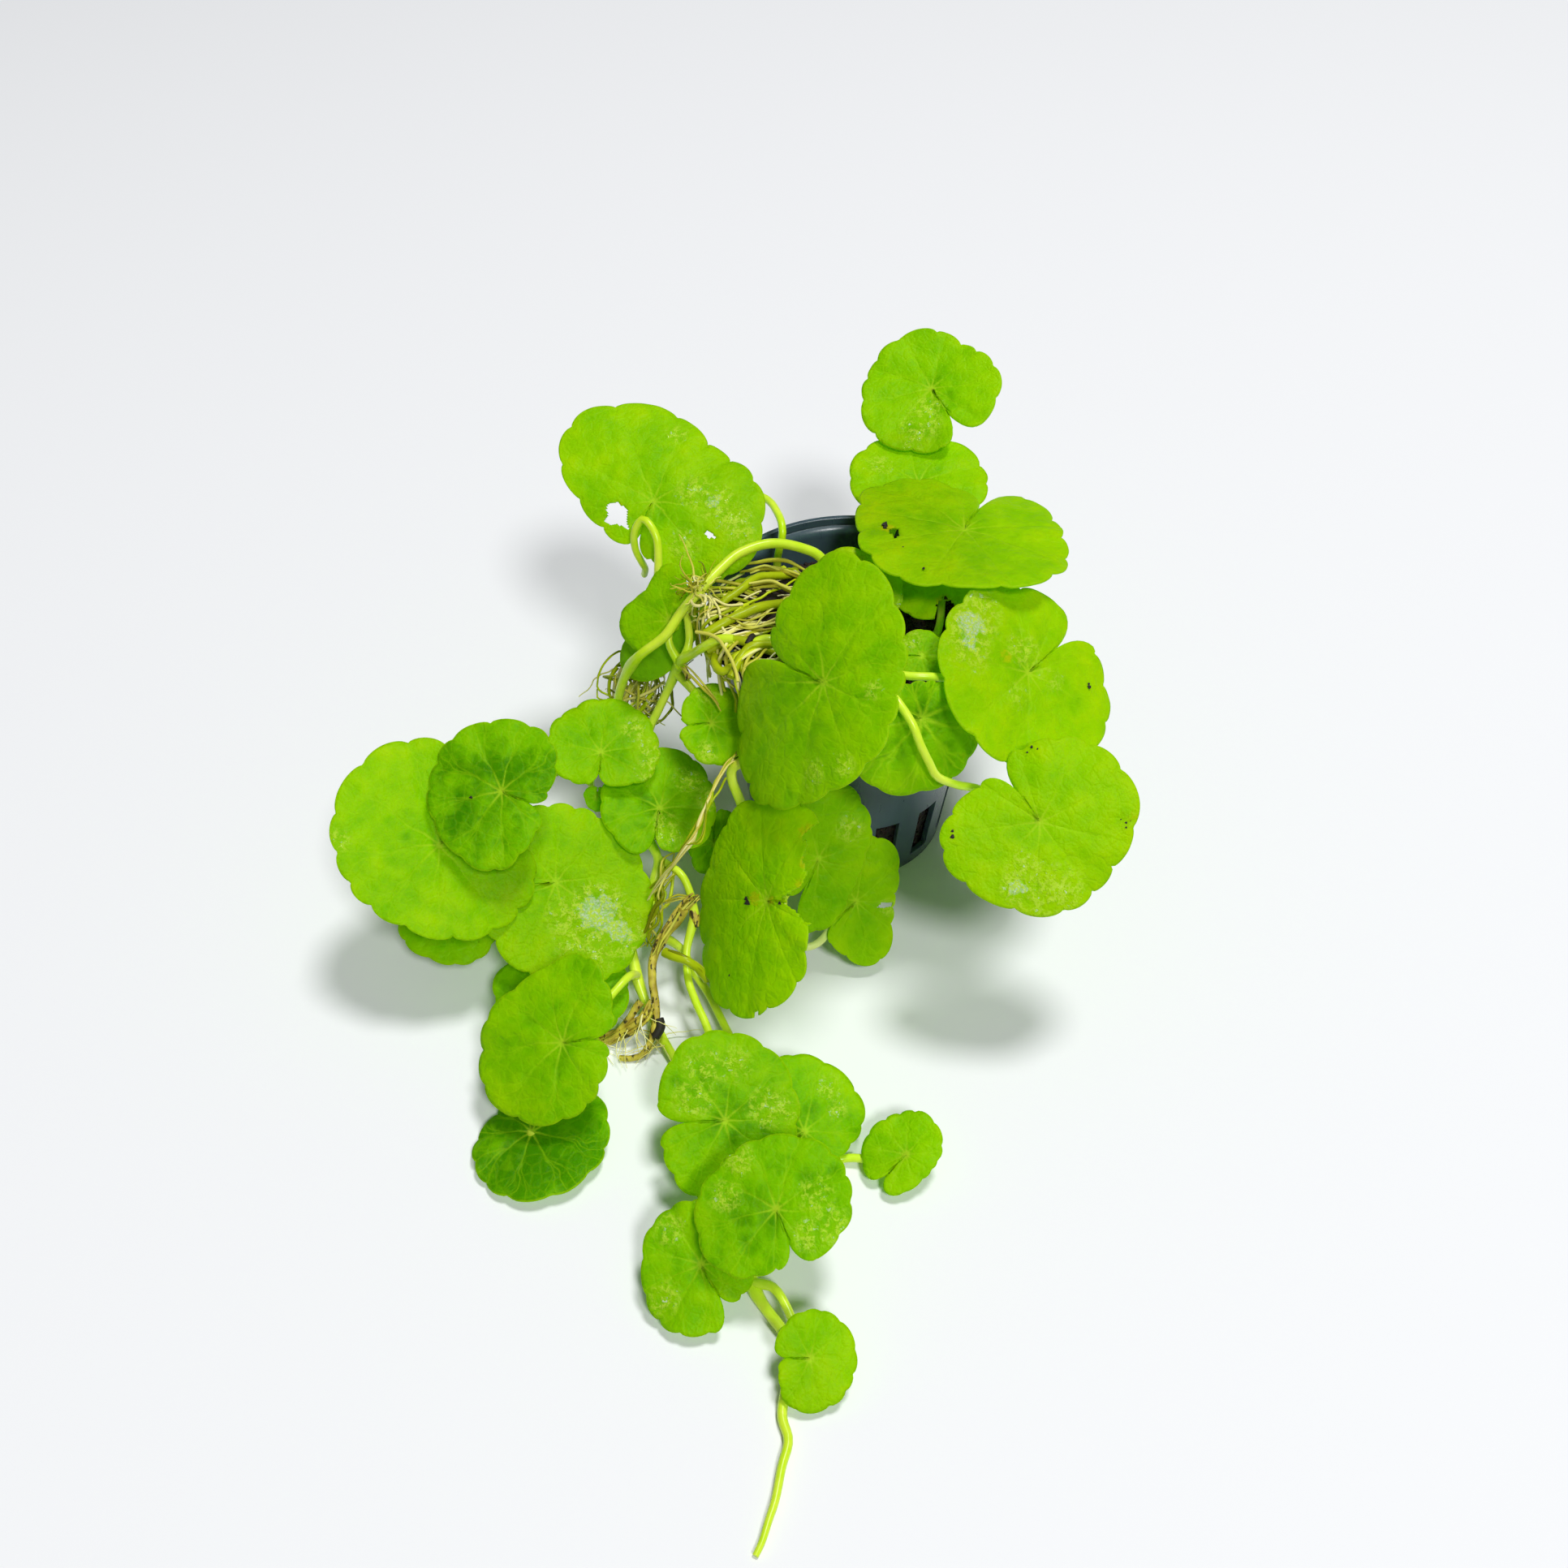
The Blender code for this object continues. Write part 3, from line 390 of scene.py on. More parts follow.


# Leaves. "heart" is where the stalk joins, "tilt" leans the blade towards "lean", "sinus" is the
# heading of the notch, and "reach" is how far the edge is at eight even steps from the notch.
# "cup" and "roll" bend the blade, "fine" adds points, "gap" and "gapCurve" shape the notch, "ridge"
# makes the veins bolder, and "approach" is how far under the heart the stalk turns up to it.
# Spots are given in the blade's own plane with the notch along +X: wet (x, y, radius, strength),
# marks (x, y, radius, age), specks (x, y, radius), and holes as lists of corners.

# Each leaf's tone darkens or lightens the whole blade: partly its own colour, partly painted shade for
# leaves in shade and painted light for a leaf in another's shadow.
leaves = {
    "leaf_back_right_top": dict(heart=(17.5, 54.5, 72), tilt=25, lean=-120, sinus=-69, cup=1.5,
        reach=(15, 14.5, 12, 14, 14, 14.5, 17, 17), stalk=[(12, 15, 51), (16, 22, 60.3), (18, 32, 60),
        (18.5, 45, 61)], lobes=12, tone=0.42, wet=[(8, -6, 5), (4.5, -3, 4), (11, -9, 3)]),
    "leaf_back_right_middle": dict(heart=(14, 32, 63.5), tilt=12, lean=-100, sinus=-80,
        reach=(13.5, 14, 14, 14, 14.5, 14.5, 13, 12), stalk=[(4, 14, 51), (9, 23, 59.8)], lobes=11,
        tone=0.48, wet=[(-6, -7, 3)]),
    "leaf_right_wide": dict(heart=(21.5, 11.5, 67), tilt=8, lean=60, sinus=67,
        reach=(17, 23, 21, 24, 22.5, 22.5, 19, 20), stalk=[(18, 13, 51), (19.5, 15, 58)], lobes=13,
        tone=0.58, fine=1.5, gap=22, marks=[(-8.5, 13, 2.2, 0.7)], specks=[(-7.5, 14, 0.9),
        (-8.5, 13.6, 0.6), (-19.5, 2, 0.4), (-14, 8, 0.3)], holes=[[(-9, 13), (-7.5, 12.5), (-7.5, 11),
        (-9.5, 10), (-11.5, 10.5), (-10.5, 11.5)]]),
    "leaf_right_torn": dict(heart=(17.5, 4.5, 61.5), tilt=10, lean=-90, sinus=100,
        reach=(6, 8, 12.5, 12, 10, 8, 6.5, 6), stalk=[(14, -6, 51), (16, -5, 55)], lobes=11, tone=0.7,
        fine=1.5, marks=[(-7.5, 2, 2.5, 0.75)], specks=[(-6.8, 1.5, 0.5)], holes=[[(-11, 4.5), (-7.5, 3.5),
        (-6.5, 2), (-7, 0.5), (-9.5, -0.5), (-13, 0.5)]]),
    "leaf_right_large": dict(heart=(31.5, -20.5, 58), tilt=35, lean=-40, sinus=49,
        reach=(17.5, 18, 18.5, 20, 20.3, 18, 18.5, 17), stalk=[(2.5, -11, 51), (3.5, -20, 59.8),
        (7, -25.5, 61.8), (14, -26, 61.5), (21, -23, 58)], lobes=12, tone=0.61, fine=1.3,
        wet=[(-4, 13.5, 5.5, 1.6), (-7, 11.5, 5, 1.4), (-9, 10, 5), (0.5, 14.5, 4.5), (2, 4, 4),
        (-6, -2, 3, 0.6), (3, -4, 3, 0.6)], marks=[(-2.5, 5, 2.4, 0.5)], specks=[(9, -9.5, 0.45),
        (9.4, -9, 0.3)]),
    "leaf_right_front": dict(heart=(31.5, -48.3, 47.3), tilt=42, lean=-95, sinus=125, roll=-2,
        rollAlong=30, reach=(12.5, 18, 16.5, 16.5, 15.5, 17.5, 16.5, 13.5), stalk=[(-1, -13, 51),
        (0, -20, 59.5), (2.5, -27, 61), (6, -31.5, 61.3), (8.9, -35.3, 59), (10.4, -37.2, 56),
        (12.4, -38.2, 51.9), (14.2, -38.6, 48.6), (17.8, -37.3, 45.6), (23, -36.5, 43), (29, -39.5, 40)],
        lobes=12, tone=0.66, fine=1.2, wet=[(-9.5, 9, 5), (-12, 4, 5), (-11, 6.5, 5), (-5, 7, 4),
        (-7, 10.2, 3.4, 1.5)], marks=[(-9, -14, 2.4, 0.42)], specks=[(7, 14, 0.5), (7.8, 13.4, 0.35),
        (-9, -12, 0.3), (-8.4, -12.9, 0.25), (-9.7, -11.5, 0.25), (-8, -11.6, 0.2), (-9.2, -12.8, 0.22),
        (-7.3, -12.6, 0.2), (11.5, -6.8, 0.3), (11.2, -5.6, 0.22), (10.6, -7.4, 0.2)]),
    "leaf_pot_front": dict(heart=(11, -32, 57), tilt=60, lean=-70, sinus=175,
        reach=(14.5, 15, 13.5, 12.5, 11.5, 7.6, 6.8, 8), stalk=[(-17, -31, 49.5), (-13, -32, 49.5),
        (-3, -30.5, 50), (5, -30.5, 52)], lobes=12, tone=0.33, gap=24, gapCurve=0.5, ridge=0.9,
        marks=[(-6, 8, 2.5, 0.4), (-10, 5, 2.2, 0.35)]),
    "leaf_right_small": dict(heart=(11.5, -19.5, 61), tilt=30, lean=-90, sinus=180,
        reach=(5, 5, 4.5, 4.5, 4.5, 5, 5, 5), stalk=[(9, -14, 51)], lobes=9, tone=0.45,
        wet=[(2, -3, 2.5)]),
    "leaf_centre_large": dict(heart=(-7, -33.5, 67), tilt=48, lean=-140, sinus=140, roll=-4, rollAlong=100,
        reach=(20.5, 26, 20.3, 17.5, 15, 18, 23.5, 16), stalk=[(-2, -17, 51), (-3, -22, 58),
        (-3.5, -27, 62)], lobes=15, tone=0.4, wet=[(-11, 11, 2.5), (-5.5, 15, 3), (-10, -2.5, 2)]),
    "leaf_centre_behind": dict(heart=(1, -3.5, 62), tilt=30, lean=-90, sinus=-130,
        reach=(8, 8, 7.5, 8.5, 9, 10.5, 9, 8), stalk=[(1, -1, 51)], lobes=11, tone=0.72, wet=[(-3, 6, 3),
        (-4, -6, 3)]),
    "leaf_back_left_large": dict(heart=(-39.5, 18.5, 68.5), tilt=32, lean=-100, sinus=-112, roll=-4,
        rollAlong=-30, reach=(12.5, 22.5, 21.5, 17, 22, 24.4, 14.2, 10.4), stalk=[(-15, 16, 51),
        (-15, 15, 57), (-14, 16, 63), (-15, 21, 64), (-18, 27, 63.5), (-25, 31, 62), (-33, 27, 62)],
        lobes=13, tone=0.5, fine=1.6, wet=[(-1.5, 16.5, 4), (-3.5, 11.5, 4.5, 1.35), (-4.5, 7, 4),
        (6.5, 9, 3.5), (-15.5, -1.5, 2.5), (1, 19, 3)], marks=[(3, -6, 2.2, 0.45), (3.2, 13.2, 1.6, 0.4)],
        holes=[[(3.5, -8.5), (2.5, -6.5), (3.5, -4), (5.5, -3.5), (7, -2.5), (6.6, -5), (7.4, -6.6),
        (7, -8), (5.5, -7.5), (4.5, -8.2)], [(3, 12), (2.5, 13), (3, 14.5), (3.6, 14.4), (4, 13.4)]]),
    "leaf_left_folded": dict(heart=(-36, -2, 55), tilt=45, lean=-120, sinus=-82, approach=1,
        reach=(2.5, 2.4, 3.2, 11.2, 8, 10.5, 8.8, 3), stalk=[(-34, -6.5, 48), (-36, -4.5, 51.3)], lobes=11,
        tone=0.42),
    "leaf_left_underside": dict(heart=(-32, 0, 56), tilt=122, lean=55, sinus=152, approach=1.1,
        reach=(6, 4.5, 4.2, 3.6, 4, 7.6, 20, 8), stalk=[(-33, -8, 50.5), (-32, -6, 53.5)], lobes=11,
        tone=0.3),
    "leaf_centre_small": dict(heart=(-27.5, -21.5, 46), tilt=35, lean=-50, sinus=-162,
        reach=(7, 8, 8.5, 8, 8, 8, 7, 6), stalk=[(-35, -5, 44.5), (-30, -11, 42)], lobes=9, tone=0.42,
        wet=[(-0.5, -6.5, 3), (2, 5.5, 2.5)]),
    "leaf_middle_left": dict(heart=(-38, -26, 27.5), tilt=20, lean=-60, sinus=-96,
        reach=(9.5, 11, 11, 13, 13, 12, 11.5, 11), stalk=[(-42, -16, 21)], lobes=11, tone=0.3,
        wet=[(3.5, 1.5, 3), (-7, 5, 4), (6.5, 3, 3), (-4, 9, 3)]),
    "leaf_upper_left": dict(heart=(-49.5, -18.5, 35.5), tilt=18, lean=-70, sinus=-91,
        reach=(7.5, 11, 11.5, 12, 11.5, 11, 10, 8), stalk=[(-50, -3, 24)], lobes=12, tone=0.42,
        wet=[(-1, 10, 3.5), (3, 9.5, 3), (-5.5, 6, 3)]),
    "leaf_far_left_top": dict(heart=(-66.5, -33.5, 40), tilt=35, lean=-100, sinus=-27,
        reach=(9, 13, 13.5, 14, 14, 14, 15, 10.5), stalk=[(-68, -5, 12), (-66, -15, 20)], lobes=12,
        tone=0.14, specks=[(-4.5, -3.5, 0.35)]),
    "leaf_far_left_large": dict(heart=(-78.5, -39, 31), tilt=35, lean=-60, sinus=55,
        reach=(19, 21.5, 20.5, 18, 17, 19, 19, 12), stalk=[(-80, -19, 4), (-81, -26, 14)], lobes=14,
        tone=0.45, fine=1.2, wet=[(-12, 14, 2.5)]),
    "leaf_left_wet": dict(heart=(-57.5, -40.5, 22), tilt=35, lean=-70, sinus=-167,
        reach=(15.5, 18.5, 21, 19, 16, 15.2, 15, 14), stalk=[(-39, -36, 17), (-37.3, -40, 16.8),
        (-42, -42, 15.6), (-50, -39.5, 15)], lobes=14, tone=0.52, fine=1.2, wet=[(-7, 7, 6.5, 1.7),
        (-10.5, 11, 5.5, 1.5), (-3.5, 11, 6), (-14.5, 14.5, 3.5), (-6, 15, 4), (-1, 7, 4.5)]),
    "leaf_far_left_shaded": dict(heart=(-79, -40.5, 13), tilt=25, lean=-90, sinus=94,
        reach=(9, 10, 10.5, 10, 11, 10.5, 10, 9), stalk=[(-82, -27, 1.2)], lobes=12, tone=0.35,
        wet=[(-3, -7, 3)]),
    "leaf_lower_left": dict(heart=(-53.5, -74, 17), tilt=38, lean=-120, sinus=0,
        reach=(11, 16, 13.5, 15.5, 17, 15, 12, 9.5), stalk=[(-42.3, -51, 6.5), (-43.5, -55.5, 11.5),
        (-48, -62, 11)], lobes=12, tone=0.36, marks=[(-2, 12, 1.5, 0.25)]),
    "leaf_surface_left": dict(heart=(-59.5, -83.5, 3), tilt=6, lean=-140, sinus=83, approach=1,
        reach=(10, 8, 10.5, 12.5, 14, 14.5, 14, 12), stalk=[(-49, -62.5, 1), (-53, -70, 1)], lobes=12,
        tone=-0.1),
    "leaf_lower_left_shaded": dict(heart=(-55.5, -56.5, 8), tilt=15, lean=-90, sinus=94,
        reach=(9, 14, 12, 10, 10, 12, 12, 9), stalk=[(-43.3, -47, 9.4)], lobes=10, tone=0.15),
    "leaf_front_torn": dict(heart=(-17, -53.5, 32), tilt=55, lean=-150, sinus=-20, roll=-3, rollAlong=80,
        reach=(13, 19, 19.5, 19.5, 24, 22.5, 18, 11.5), stalk=[(-17.5, -38.5, 22)], lobes=14, tone=0.55,
        fine=1.6, marks=[(-3, 0.3, 1.8, 0.7), (1.5, 0, 1.6, 0.6), (8, 12.5, 2.2, 0.6),
        (10.5, 15.5, 1.8, 0.5), (8.5, 7, 1.6, 0.75), (8, 3, 1.8, 0.6)], specks=[(-4.5, -0.5, 0.7),
        (-4.9, 0.2, 0.5), (4, -0.4, 0.4), (-9, -14, 0.35)], holes=[[(13.5, 16.5), (12.5, 15.5), (11, 14.5),
        (8.5, 13), (7, 11.5), (8.5, 10.5), (8, 7.5), (9, 5), (8, 3), (6.5, 2), (4, 0.6), (4.5, -0.3),
        (7.5, -1.8), (9.5, -3.6), (12, -3.6), (16, 0), (20, 10), (18, 16.5)], [(-2.2, -24), (-1.2, -19.8),
        (0.2, -19.4), (1, -24)]]),
    "leaf_front_behind": dict(heart=(-7, -36.5, 24), tilt=55, lean=-80, sinus=-111,
        reach=(14.5, 9.5, 9, 13, 16, 9, 7.5, 9), stalk=[(-15.5, -41.5, 15)], lobes=13, tone=0.45,
        wet=[(-8, 3, 3)]),
    "leaf_front_right": dict(heart=(0.5, -39, 14.5), tilt=55, lean=-80, sinus=-135,
        reach=(10, 13.5, 8, 8.5, 13.5, 12, 10, 9), stalk=[(-14, -44.5, 8), (-10, -45.2, 7.8),
        (-7, -44.2, 8), (-4.5, -41.5, 9), (-1.5, -37.5, 11)], lobes=12, tone=0.5, fine=2.2,
        stalkFinish="paleStem", wet=[(-4, 5, 2)], marks=[(-3.4, 4.4, 1.4, 0.45)], holes=[[(-2.2, 3.6),
        (-3.6, 3.5), (-5, 5), (-4.4, 5.5), (-3, 4.4)]]),
    "leaf_front_shaded": dict(heart=(-27.5, -29.5, 21), tilt=40, lean=-120, sinus=84,
        reach=(7, 6, 5.5, 6.5, 5, 6, 6, 7), stalk=[(-41, -26, 20)], lobes=9, tone=0.1),
    "leaf_young": dict(heart=(-51, -21, 25), tilt=30, lean=-60, sinus=90,
        reach=(2.5, 2.8, 2.4, 2.6, 2.8, 2.5, 2.4, 2.5), stalk=[(-55, -3, 19)], lobes=7, tone=0.3),
    "leaf_trail_upper": dict(heart=(-24, -87, 12), tilt=32, lean=-80, sinus=-176,
        reach=(12, 14, 12, 12.5, 13.5, 15, 15.5, 12.5), stalk=[(-31, -43, 15), (-32.5, -47.5, 11),
        (-32.5, -50.5, 9), (-32, -54, 8), (-30.5, -58, 7.5), (-28, -64, 6.5), (-25, -76, 5.5)], lobes=12,
        tone=0.33, wet=[(3.5, -9.5, 4), (-2, -9.5, 3.5), (5.5, -4, 4), (-7.5, -2, 4, 1.2),
        (-10, -1.5, 3.5)]),
    "leaf_trail_right": dict(heart=(-10, -86, 7), tilt=20, lean=-60, sinus=-137,
        reach=(8, 9, 8, 11.5, 13, 14, 9, 8), stalk=[(-28, -82, 1.2), (-19, -84, 1.5)], lobes=12, tone=0.33,
        wet=[(-8.5, -3, 2.5), (-7, 1, 2)]),
    "leaf_trail_middle": dict(heart=(-15, -106.5, 16.5), tilt=22, lean=-120, sinus=-71,
        reach=(10.5, 12.5, 13, 12, 12, 13.5, 13.5, 10), stalk=[(-37, -47, 13.5), (-33.5, -46, 8),
        (-31.5, -49.5, 6), (-28.5, -54, 5), (-26, -59, 4), (-22, -68, 3.5), (-18.5, -82, 4.2),
        (-16, -94, 3.2), (-15, -100, 5.5)], lobes=13, tone=0.24, wet=[(0.5, 7, 3.5), (6, 7.5, 3.5),
        (6, 3.5, 3), (-9.5, -3, 3), (-5, -7, 3)]),
    "leaf_trail_left": dict(heart=(-27.5, -112, 8), tilt=30, lean=-110, sinus=-61,
        reach=(8.5, 10, 10, 10.5, 10.5, 10, 11.5, 11), stalk=[(-21, -104, 1.2)], lobes=12, tone=0.35,
        wet=[(-7.5, -1.5, 3), (1.5, -8, 3)]),
    "leaf_trail_end": dict(heart=(-9.5, -127, 6), tilt=30, lean=-80, sinus=-179,
        reach=(5.5, 8, 8, 7.5, 7.5, 7.5, 7, 6), stalk=[(-19, -112, 1.2), (-14.5, -115, 4)], lobes=11,
        tone=0.5),
    "leaf_trail_small": dict(heart=(8, -89.5, 5), tilt=22, lean=-130, sinus=-139,
        reach=(7.5, 5.5, 5.5, 7, 8, 7.5, 8, 8), stalk=[(-21, -104, 1.2), (-15, -97, 1.2), (-5, -89, 1.6),
        (2, -88.5, 2)], lobes=12, tone=0.42),
}

# What all leaves share. A leaf whose mean reach is under youngSize has a thinner stalk, and one under
# fullSize has smaller waves. The tone's middle value leaves the tissue's colour as it is.
blade = {
    "thickness": 0.42, "heartRadius": 1.3, "sinusWidth": 18, "sinusCurve": 0.3, "approach": 4.5,
    "edgeStep": 0.6, "ringStep": 0.95, "fullSize": 12, "youngSize": 5, "toneAndShadeMiddle": 0.25,
    "lobeDepth": 0.068, "lobeRound": 0.45, "ripple": 0.5, "droop": 0.35, "quilt": 0.28, "dimple": 0.5,
    "stalkRadius": 0.8, "stalkJoint": 1.05, "stalkTop": 1.25, "youngStalk": 0.7, "speckLift": 0.55,
}


def edgeReach(leaf, turn):
    # How far the edge is from the heart, turn degrees round from the middle of the sinus
    reach = leaf["reach"]
    count = len(reach)
    place = turn / 360 * count - 0.5
    index = math.floor(place)
    t = place - index
    a, b, c, d = (reach[min(max(index + k, 0), count - 1)] for k in (-1, 0, 1, 2))
    smooth = b + 0.5 * t * (c - a + t * (2 * a - 5 * b + 4 * c - d + t * (3 * (b - c) + d - a)))
    fromSinus = min(turn, 360 - turn) / leaf.get("gap", blade["sinusWidth"])
    if fromSinus < 1:
        opening = math.sin(fromSinus * math.pi / 2) ** leaf.get("gapCurve", blade["sinusCurve"])
        smooth = blade["heartRadius"] + (smooth - blade["heartRadius"]) * opening
    return smooth


def inPolygon(x, y, corners):
    inside = False
    for (ax, ay), (bx, by) in zip(corners, corners[1:] + corners[:1]):
        if (ay > y) != (by > y) and x < (bx - ax) * (y - ay) / (by - ay) + ax:
            inside = not inside
    return inside


def flatBlade(name, leaf):
    # A flat fan of rings about the heart, with the sinus along +X. Holes and tears are cut from it.
    size = sum(leaf["reach"]) / len(leaf["reach"])
    fine = leaf.get("fine", 1.0)
    gap = leaf.get("gap", blade["sinusWidth"])
    count = max(40, round(2 * math.pi * size / blade["edgeStep"] * fine))
    ringCount = max(7, round(size / blade["ringStep"] * fine))
    corner = (0.01, 0.03, 0.07, 0.13, 0.22, 0.34, 0.48, 0.64, 0.82)
    turns = [0] + [gap * part for part in corner]
    turns += [gap + (360 - 2 * gap) * k / count for k in range(count + 1)]
    turns += [360 - gap * part for part in reversed(corner)]
    shares = [1 - (1 - k / ringCount) ** 1.15 for k in range(1, ringCount)] + [1.0]
    places = [(0.0, 0.0)]
    details = [(0.0, 0.0, 0.0)]
    for share in shares:
        for turn in turns:
            far = edgeReach(leaf, turn) * share
            heading = math.radians(turn)
            places.append((far * math.cos(heading), far * math.sin(heading)))
            along = min(max((turn - gap) / (360 - 2 * gap), 0.0), 1.0)
            details.append((share, along, 1.0 if gap <= turn <= 360 - gap else 0.0))
    across = len(turns)
    faces = []
    for k in range(across):
        nearby = (k + 1) % across
        faces.append((0, 1 + k, 1 + nearby))
        for ring in range(len(shares) - 1):
            low = 1 + ring * across
            faces.append((low + k, low + across + k, low + across + nearby, low + nearby))
    for hole in leaf.get("holes", []):
        kept = []
        for face in faces:
            x = sum(places[v][0] for v in face) / len(face)
            y = sum(places[v][1] for v in face) / len(face)
            if not inPolygon(x, y, hole):
                kept.append(face)
        faces = kept
    mesh = bpy.data.meshes.new(name)
    mesh.from_pydata([(x * mm, y * mm, 0) for x, y in places], [], faces)
    columns = {
        "share": [d[0] for d in details],
        "along": [d[1] for d in details],
        "outer": [d[2] for d in details],
        "tone": [leaf["tone"] - blade["toneAndShadeMiddle"]] * len(places),
        "wet": [0.0] * len(places),
        "mark": [0.0] * len(places),
        "ridge": [leaf.get("ridge", 0.0)] * len(places),
    }
    for key, level in (("wet", "wet"), ("marks", "mark")):
        for spot in leaf.get(key, []):
            strength = spot[3] if len(spot) > 3 else 1.0
            for index, (x, y) in enumerate(places):
                near = max(0.0, 1 - math.hypot(x - spot[0], y - spot[1]) / spot[2])
                amount = strength * near ** 0.5
                columns[level][index] = max(columns[level][index], amount)
    for key, values in columns.items():
        mesh.attributes.new(key, "FLOAT", "POINT").data.foreach_set("value", values)
    flat = mesh.attributes.new("flat", "FLOAT_VECTOR", "POINT")
    for entry, (x, y) in zip(flat.data, places):
        entry.vector = (x, y, leaf["seed"] * 37.0)
    made = newObject(name, mesh)
    dropLoose(made)
    return made


def dropLoose(piece):
    # Removes points that no face uses any more
    bm = bmesh.new()
    bm.from_mesh(piece.data)
    bmesh.ops.delete(bm, geom=[v for v in bm.verts if not v.link_faces], context="VERTS")
    bm.to_mesh(piece.data)
    bm.free()


def bladeTree():
    # Shapes a flat fan into a living blade: round lobes on the edge, cup and roll, ripples, quilting
    # between the veins, and a thickness
    tree, add, given = newTree("bladeTree", (
        "Lobes", "Lobe depth", "Lobe roundness", "Size", "Cup", "Roll", "Roll heading", "Ripple", "Droop",
        "Quilt", "Dimple", "Thickness", "Seed"))
    share, along, outer = (add("InputNamedAttribute", name) for name in ("share", "along", "outer"))
    place = add("InputPosition")
    x, y = add("SeparateXYZ", place).node.outputs[:2]
    far = add("VectorMath LENGTH", place)
    angle = add("ARCTAN2", y, x)

    # Lobes: a row of round humps with sharp dips, of uneven width
    drift = add("SINE", add("MULTIPLY_ADD", along, 17.0, given["Seed"]))
    phase = add("MULTIPLY_ADD", drift, 0.22, add("MULTIPLY", along, given["Lobes"]))
    hump = add("ABSOLUTE", add("SINE", add("MULTIPLY", phase, math.pi)))
    hump = add("SUBTRACT", add("POWER", hump, given["Lobe roundness"]), 0.72)
    nearRim = add("POWER", share, 5.0)
    push = add("MULTIPLY", add("MULTIPLY", hump, given["Lobe depth"]), nearRim)
    push = add("MULTIPLY", push, outer)
    outward = add("VectorMath SCALE", add("VectorMath NORMALIZE", place), push)

    # Height: cup and roll follow the squares of the distances
    acrossY = add("MULTIPLY", y, add("COSINE", given["Roll heading"]))
    acrossX = add("MULTIPLY", x, add("SINE", given["Roll heading"]))
    across = add("SUBTRACT", acrossY, acrossX)
    roll = add("MULTIPLY", add("MULTIPLY", across, across), given["Roll"])
    bent = add("ADD", add("MULTIPLY", add("MULTIPLY", far, far), given["Cup"]), roll)
    bent = add("DIVIDE", bent, add("MULTIPLY", given["Size"], given["Size"]))

    # Ripples near the rim, of uneven length
    swing = add("MULTIPLY_ADD", drift, 1.3, add("MULTIPLY_ADD", angle, 4.0, given["Seed"]))
    ripple = add("MULTIPLY", add("SINE", swing), add("POWER", share, 2.2))
    ripple = add("MULTIPLY", ripple, given["Ripple"])
    fall = add("MULTIPLY", add("POWER", share, 6.0), given["Droop"])

    # Quilting: the blade swells between its main veins, and dips at the heart
    quilt = add("ABSOLUTE", add("COSINE", add("MULTIPLY", angle, veinCount / 2)))
    lumps = add("TexNoise 4D", place, given["Seed"], 1 / (5 * mm), 1.0)
    quilt = add("ADD", add("POWER", quilt, 0.6), add("MULTIPLY_ADD", lumps, 2.4, -1.2))
    quilt = add("MULTIPLY", quilt, add("MapRange SMOOTHSTEP", share, 0.05, 0.4, 0.0, 1.0))
    quilt = add("MULTIPLY", quilt, given["Quilt"])
    dip = add("MULTIPLY", add("MapRange SMOOTHSTEP", share, 0.0, 0.22, 1.0, 0.0), given["Dimple"])
    height = add("ADD", add("SUBTRACT", add("ADD", bent, ripple), fall), quilt)
    move = add("VectorMath ADD", outward, add("CombineXYZ", Z=add("SUBTRACT", height, dip)))
    shaped = add("SetPosition", given["Geometry"], Offset=move)

    # Thickness: the sheet turned over is the underside, and the sheet pushed out is the top
    down = add("VectorMath SCALE", add("InputNormal"), add("MULTIPLY", given["Thickness"], -0.5))
    low = add("SetPosition", shaped, Offset=down)
    under = add("StoreNamedAttribute FACE", add("FlipFaces", low), Name="side", Value=1.0)
    over = add("ExtrudeMesh", low, Individual=False, **{"Offset Scale": given["Thickness"]})
    closed = add("MergeByDistance", add("JoinGeometry", [over, under]), Distance=0.004 * mm)
    endTree(add, add("SetShadeSmooth", closed), given["Material"])
    return tree


def tubeTree():
    # Turns routes into round stems or roots: a smooth curve, an even step, a wobble, and a skin
    tree, add, given = newTree("tubeTree", ("Step", "Wobble", "Wobble length", "Seed"), ("Sides",))
    curve = add("CurveSplineType CATMULL_ROM", given["Geometry"])
    curve = add("SetSplineResolution", curve, Resolution=10)
    curve = add("ResampleCurve LENGTH", curve, Length=given["Step"])
    shade = add("RandomValue", ID=add("InputIndex"), Seed=5)
    curve = add("StoreNamedAttribute CURVE", curve, Name="strand", Value=shade)
    scale = add("DIVIDE", 1.0, given["Wobble length"])
    noise = add("TexNoise 4D", add("InputPosition"), given["Seed"], scale, 1.0, out=1)
    offset = add("VectorMath SCALE", add("VectorMath SUBTRACT", noise, (0.5, 0.5, 0.5)), given["Wobble"])
    profile = add("CurvePrimitiveCircle", given["Sides"], 1.0)
    skin = add("CurveToMesh", add("SetPosition", curve, Offset=offset), profile, add("InputRadius"), True)
    endTree(add, add("SetShadeSmooth", skin), given["Material"])
    return tree


trees = {"blade": bladeTree(), "tube": tubeTree()}


def makeTubes(name, paths, material, sides=8, step=1.0, wobble=0.0, wobbleLength=4.0, seed=0.0):
    return runTree(newCurve(name, paths), trees["tube"], {
        "Sides": sides, "Step": step * mm, "Wobble": wobble * mm, "Wobble length": wobbleLength * mm,
        "Seed": seed, "Material": materials[material],
    })


def even(route, radius):
    # A path with one radius all along
    return [(point, radius) for point in route]


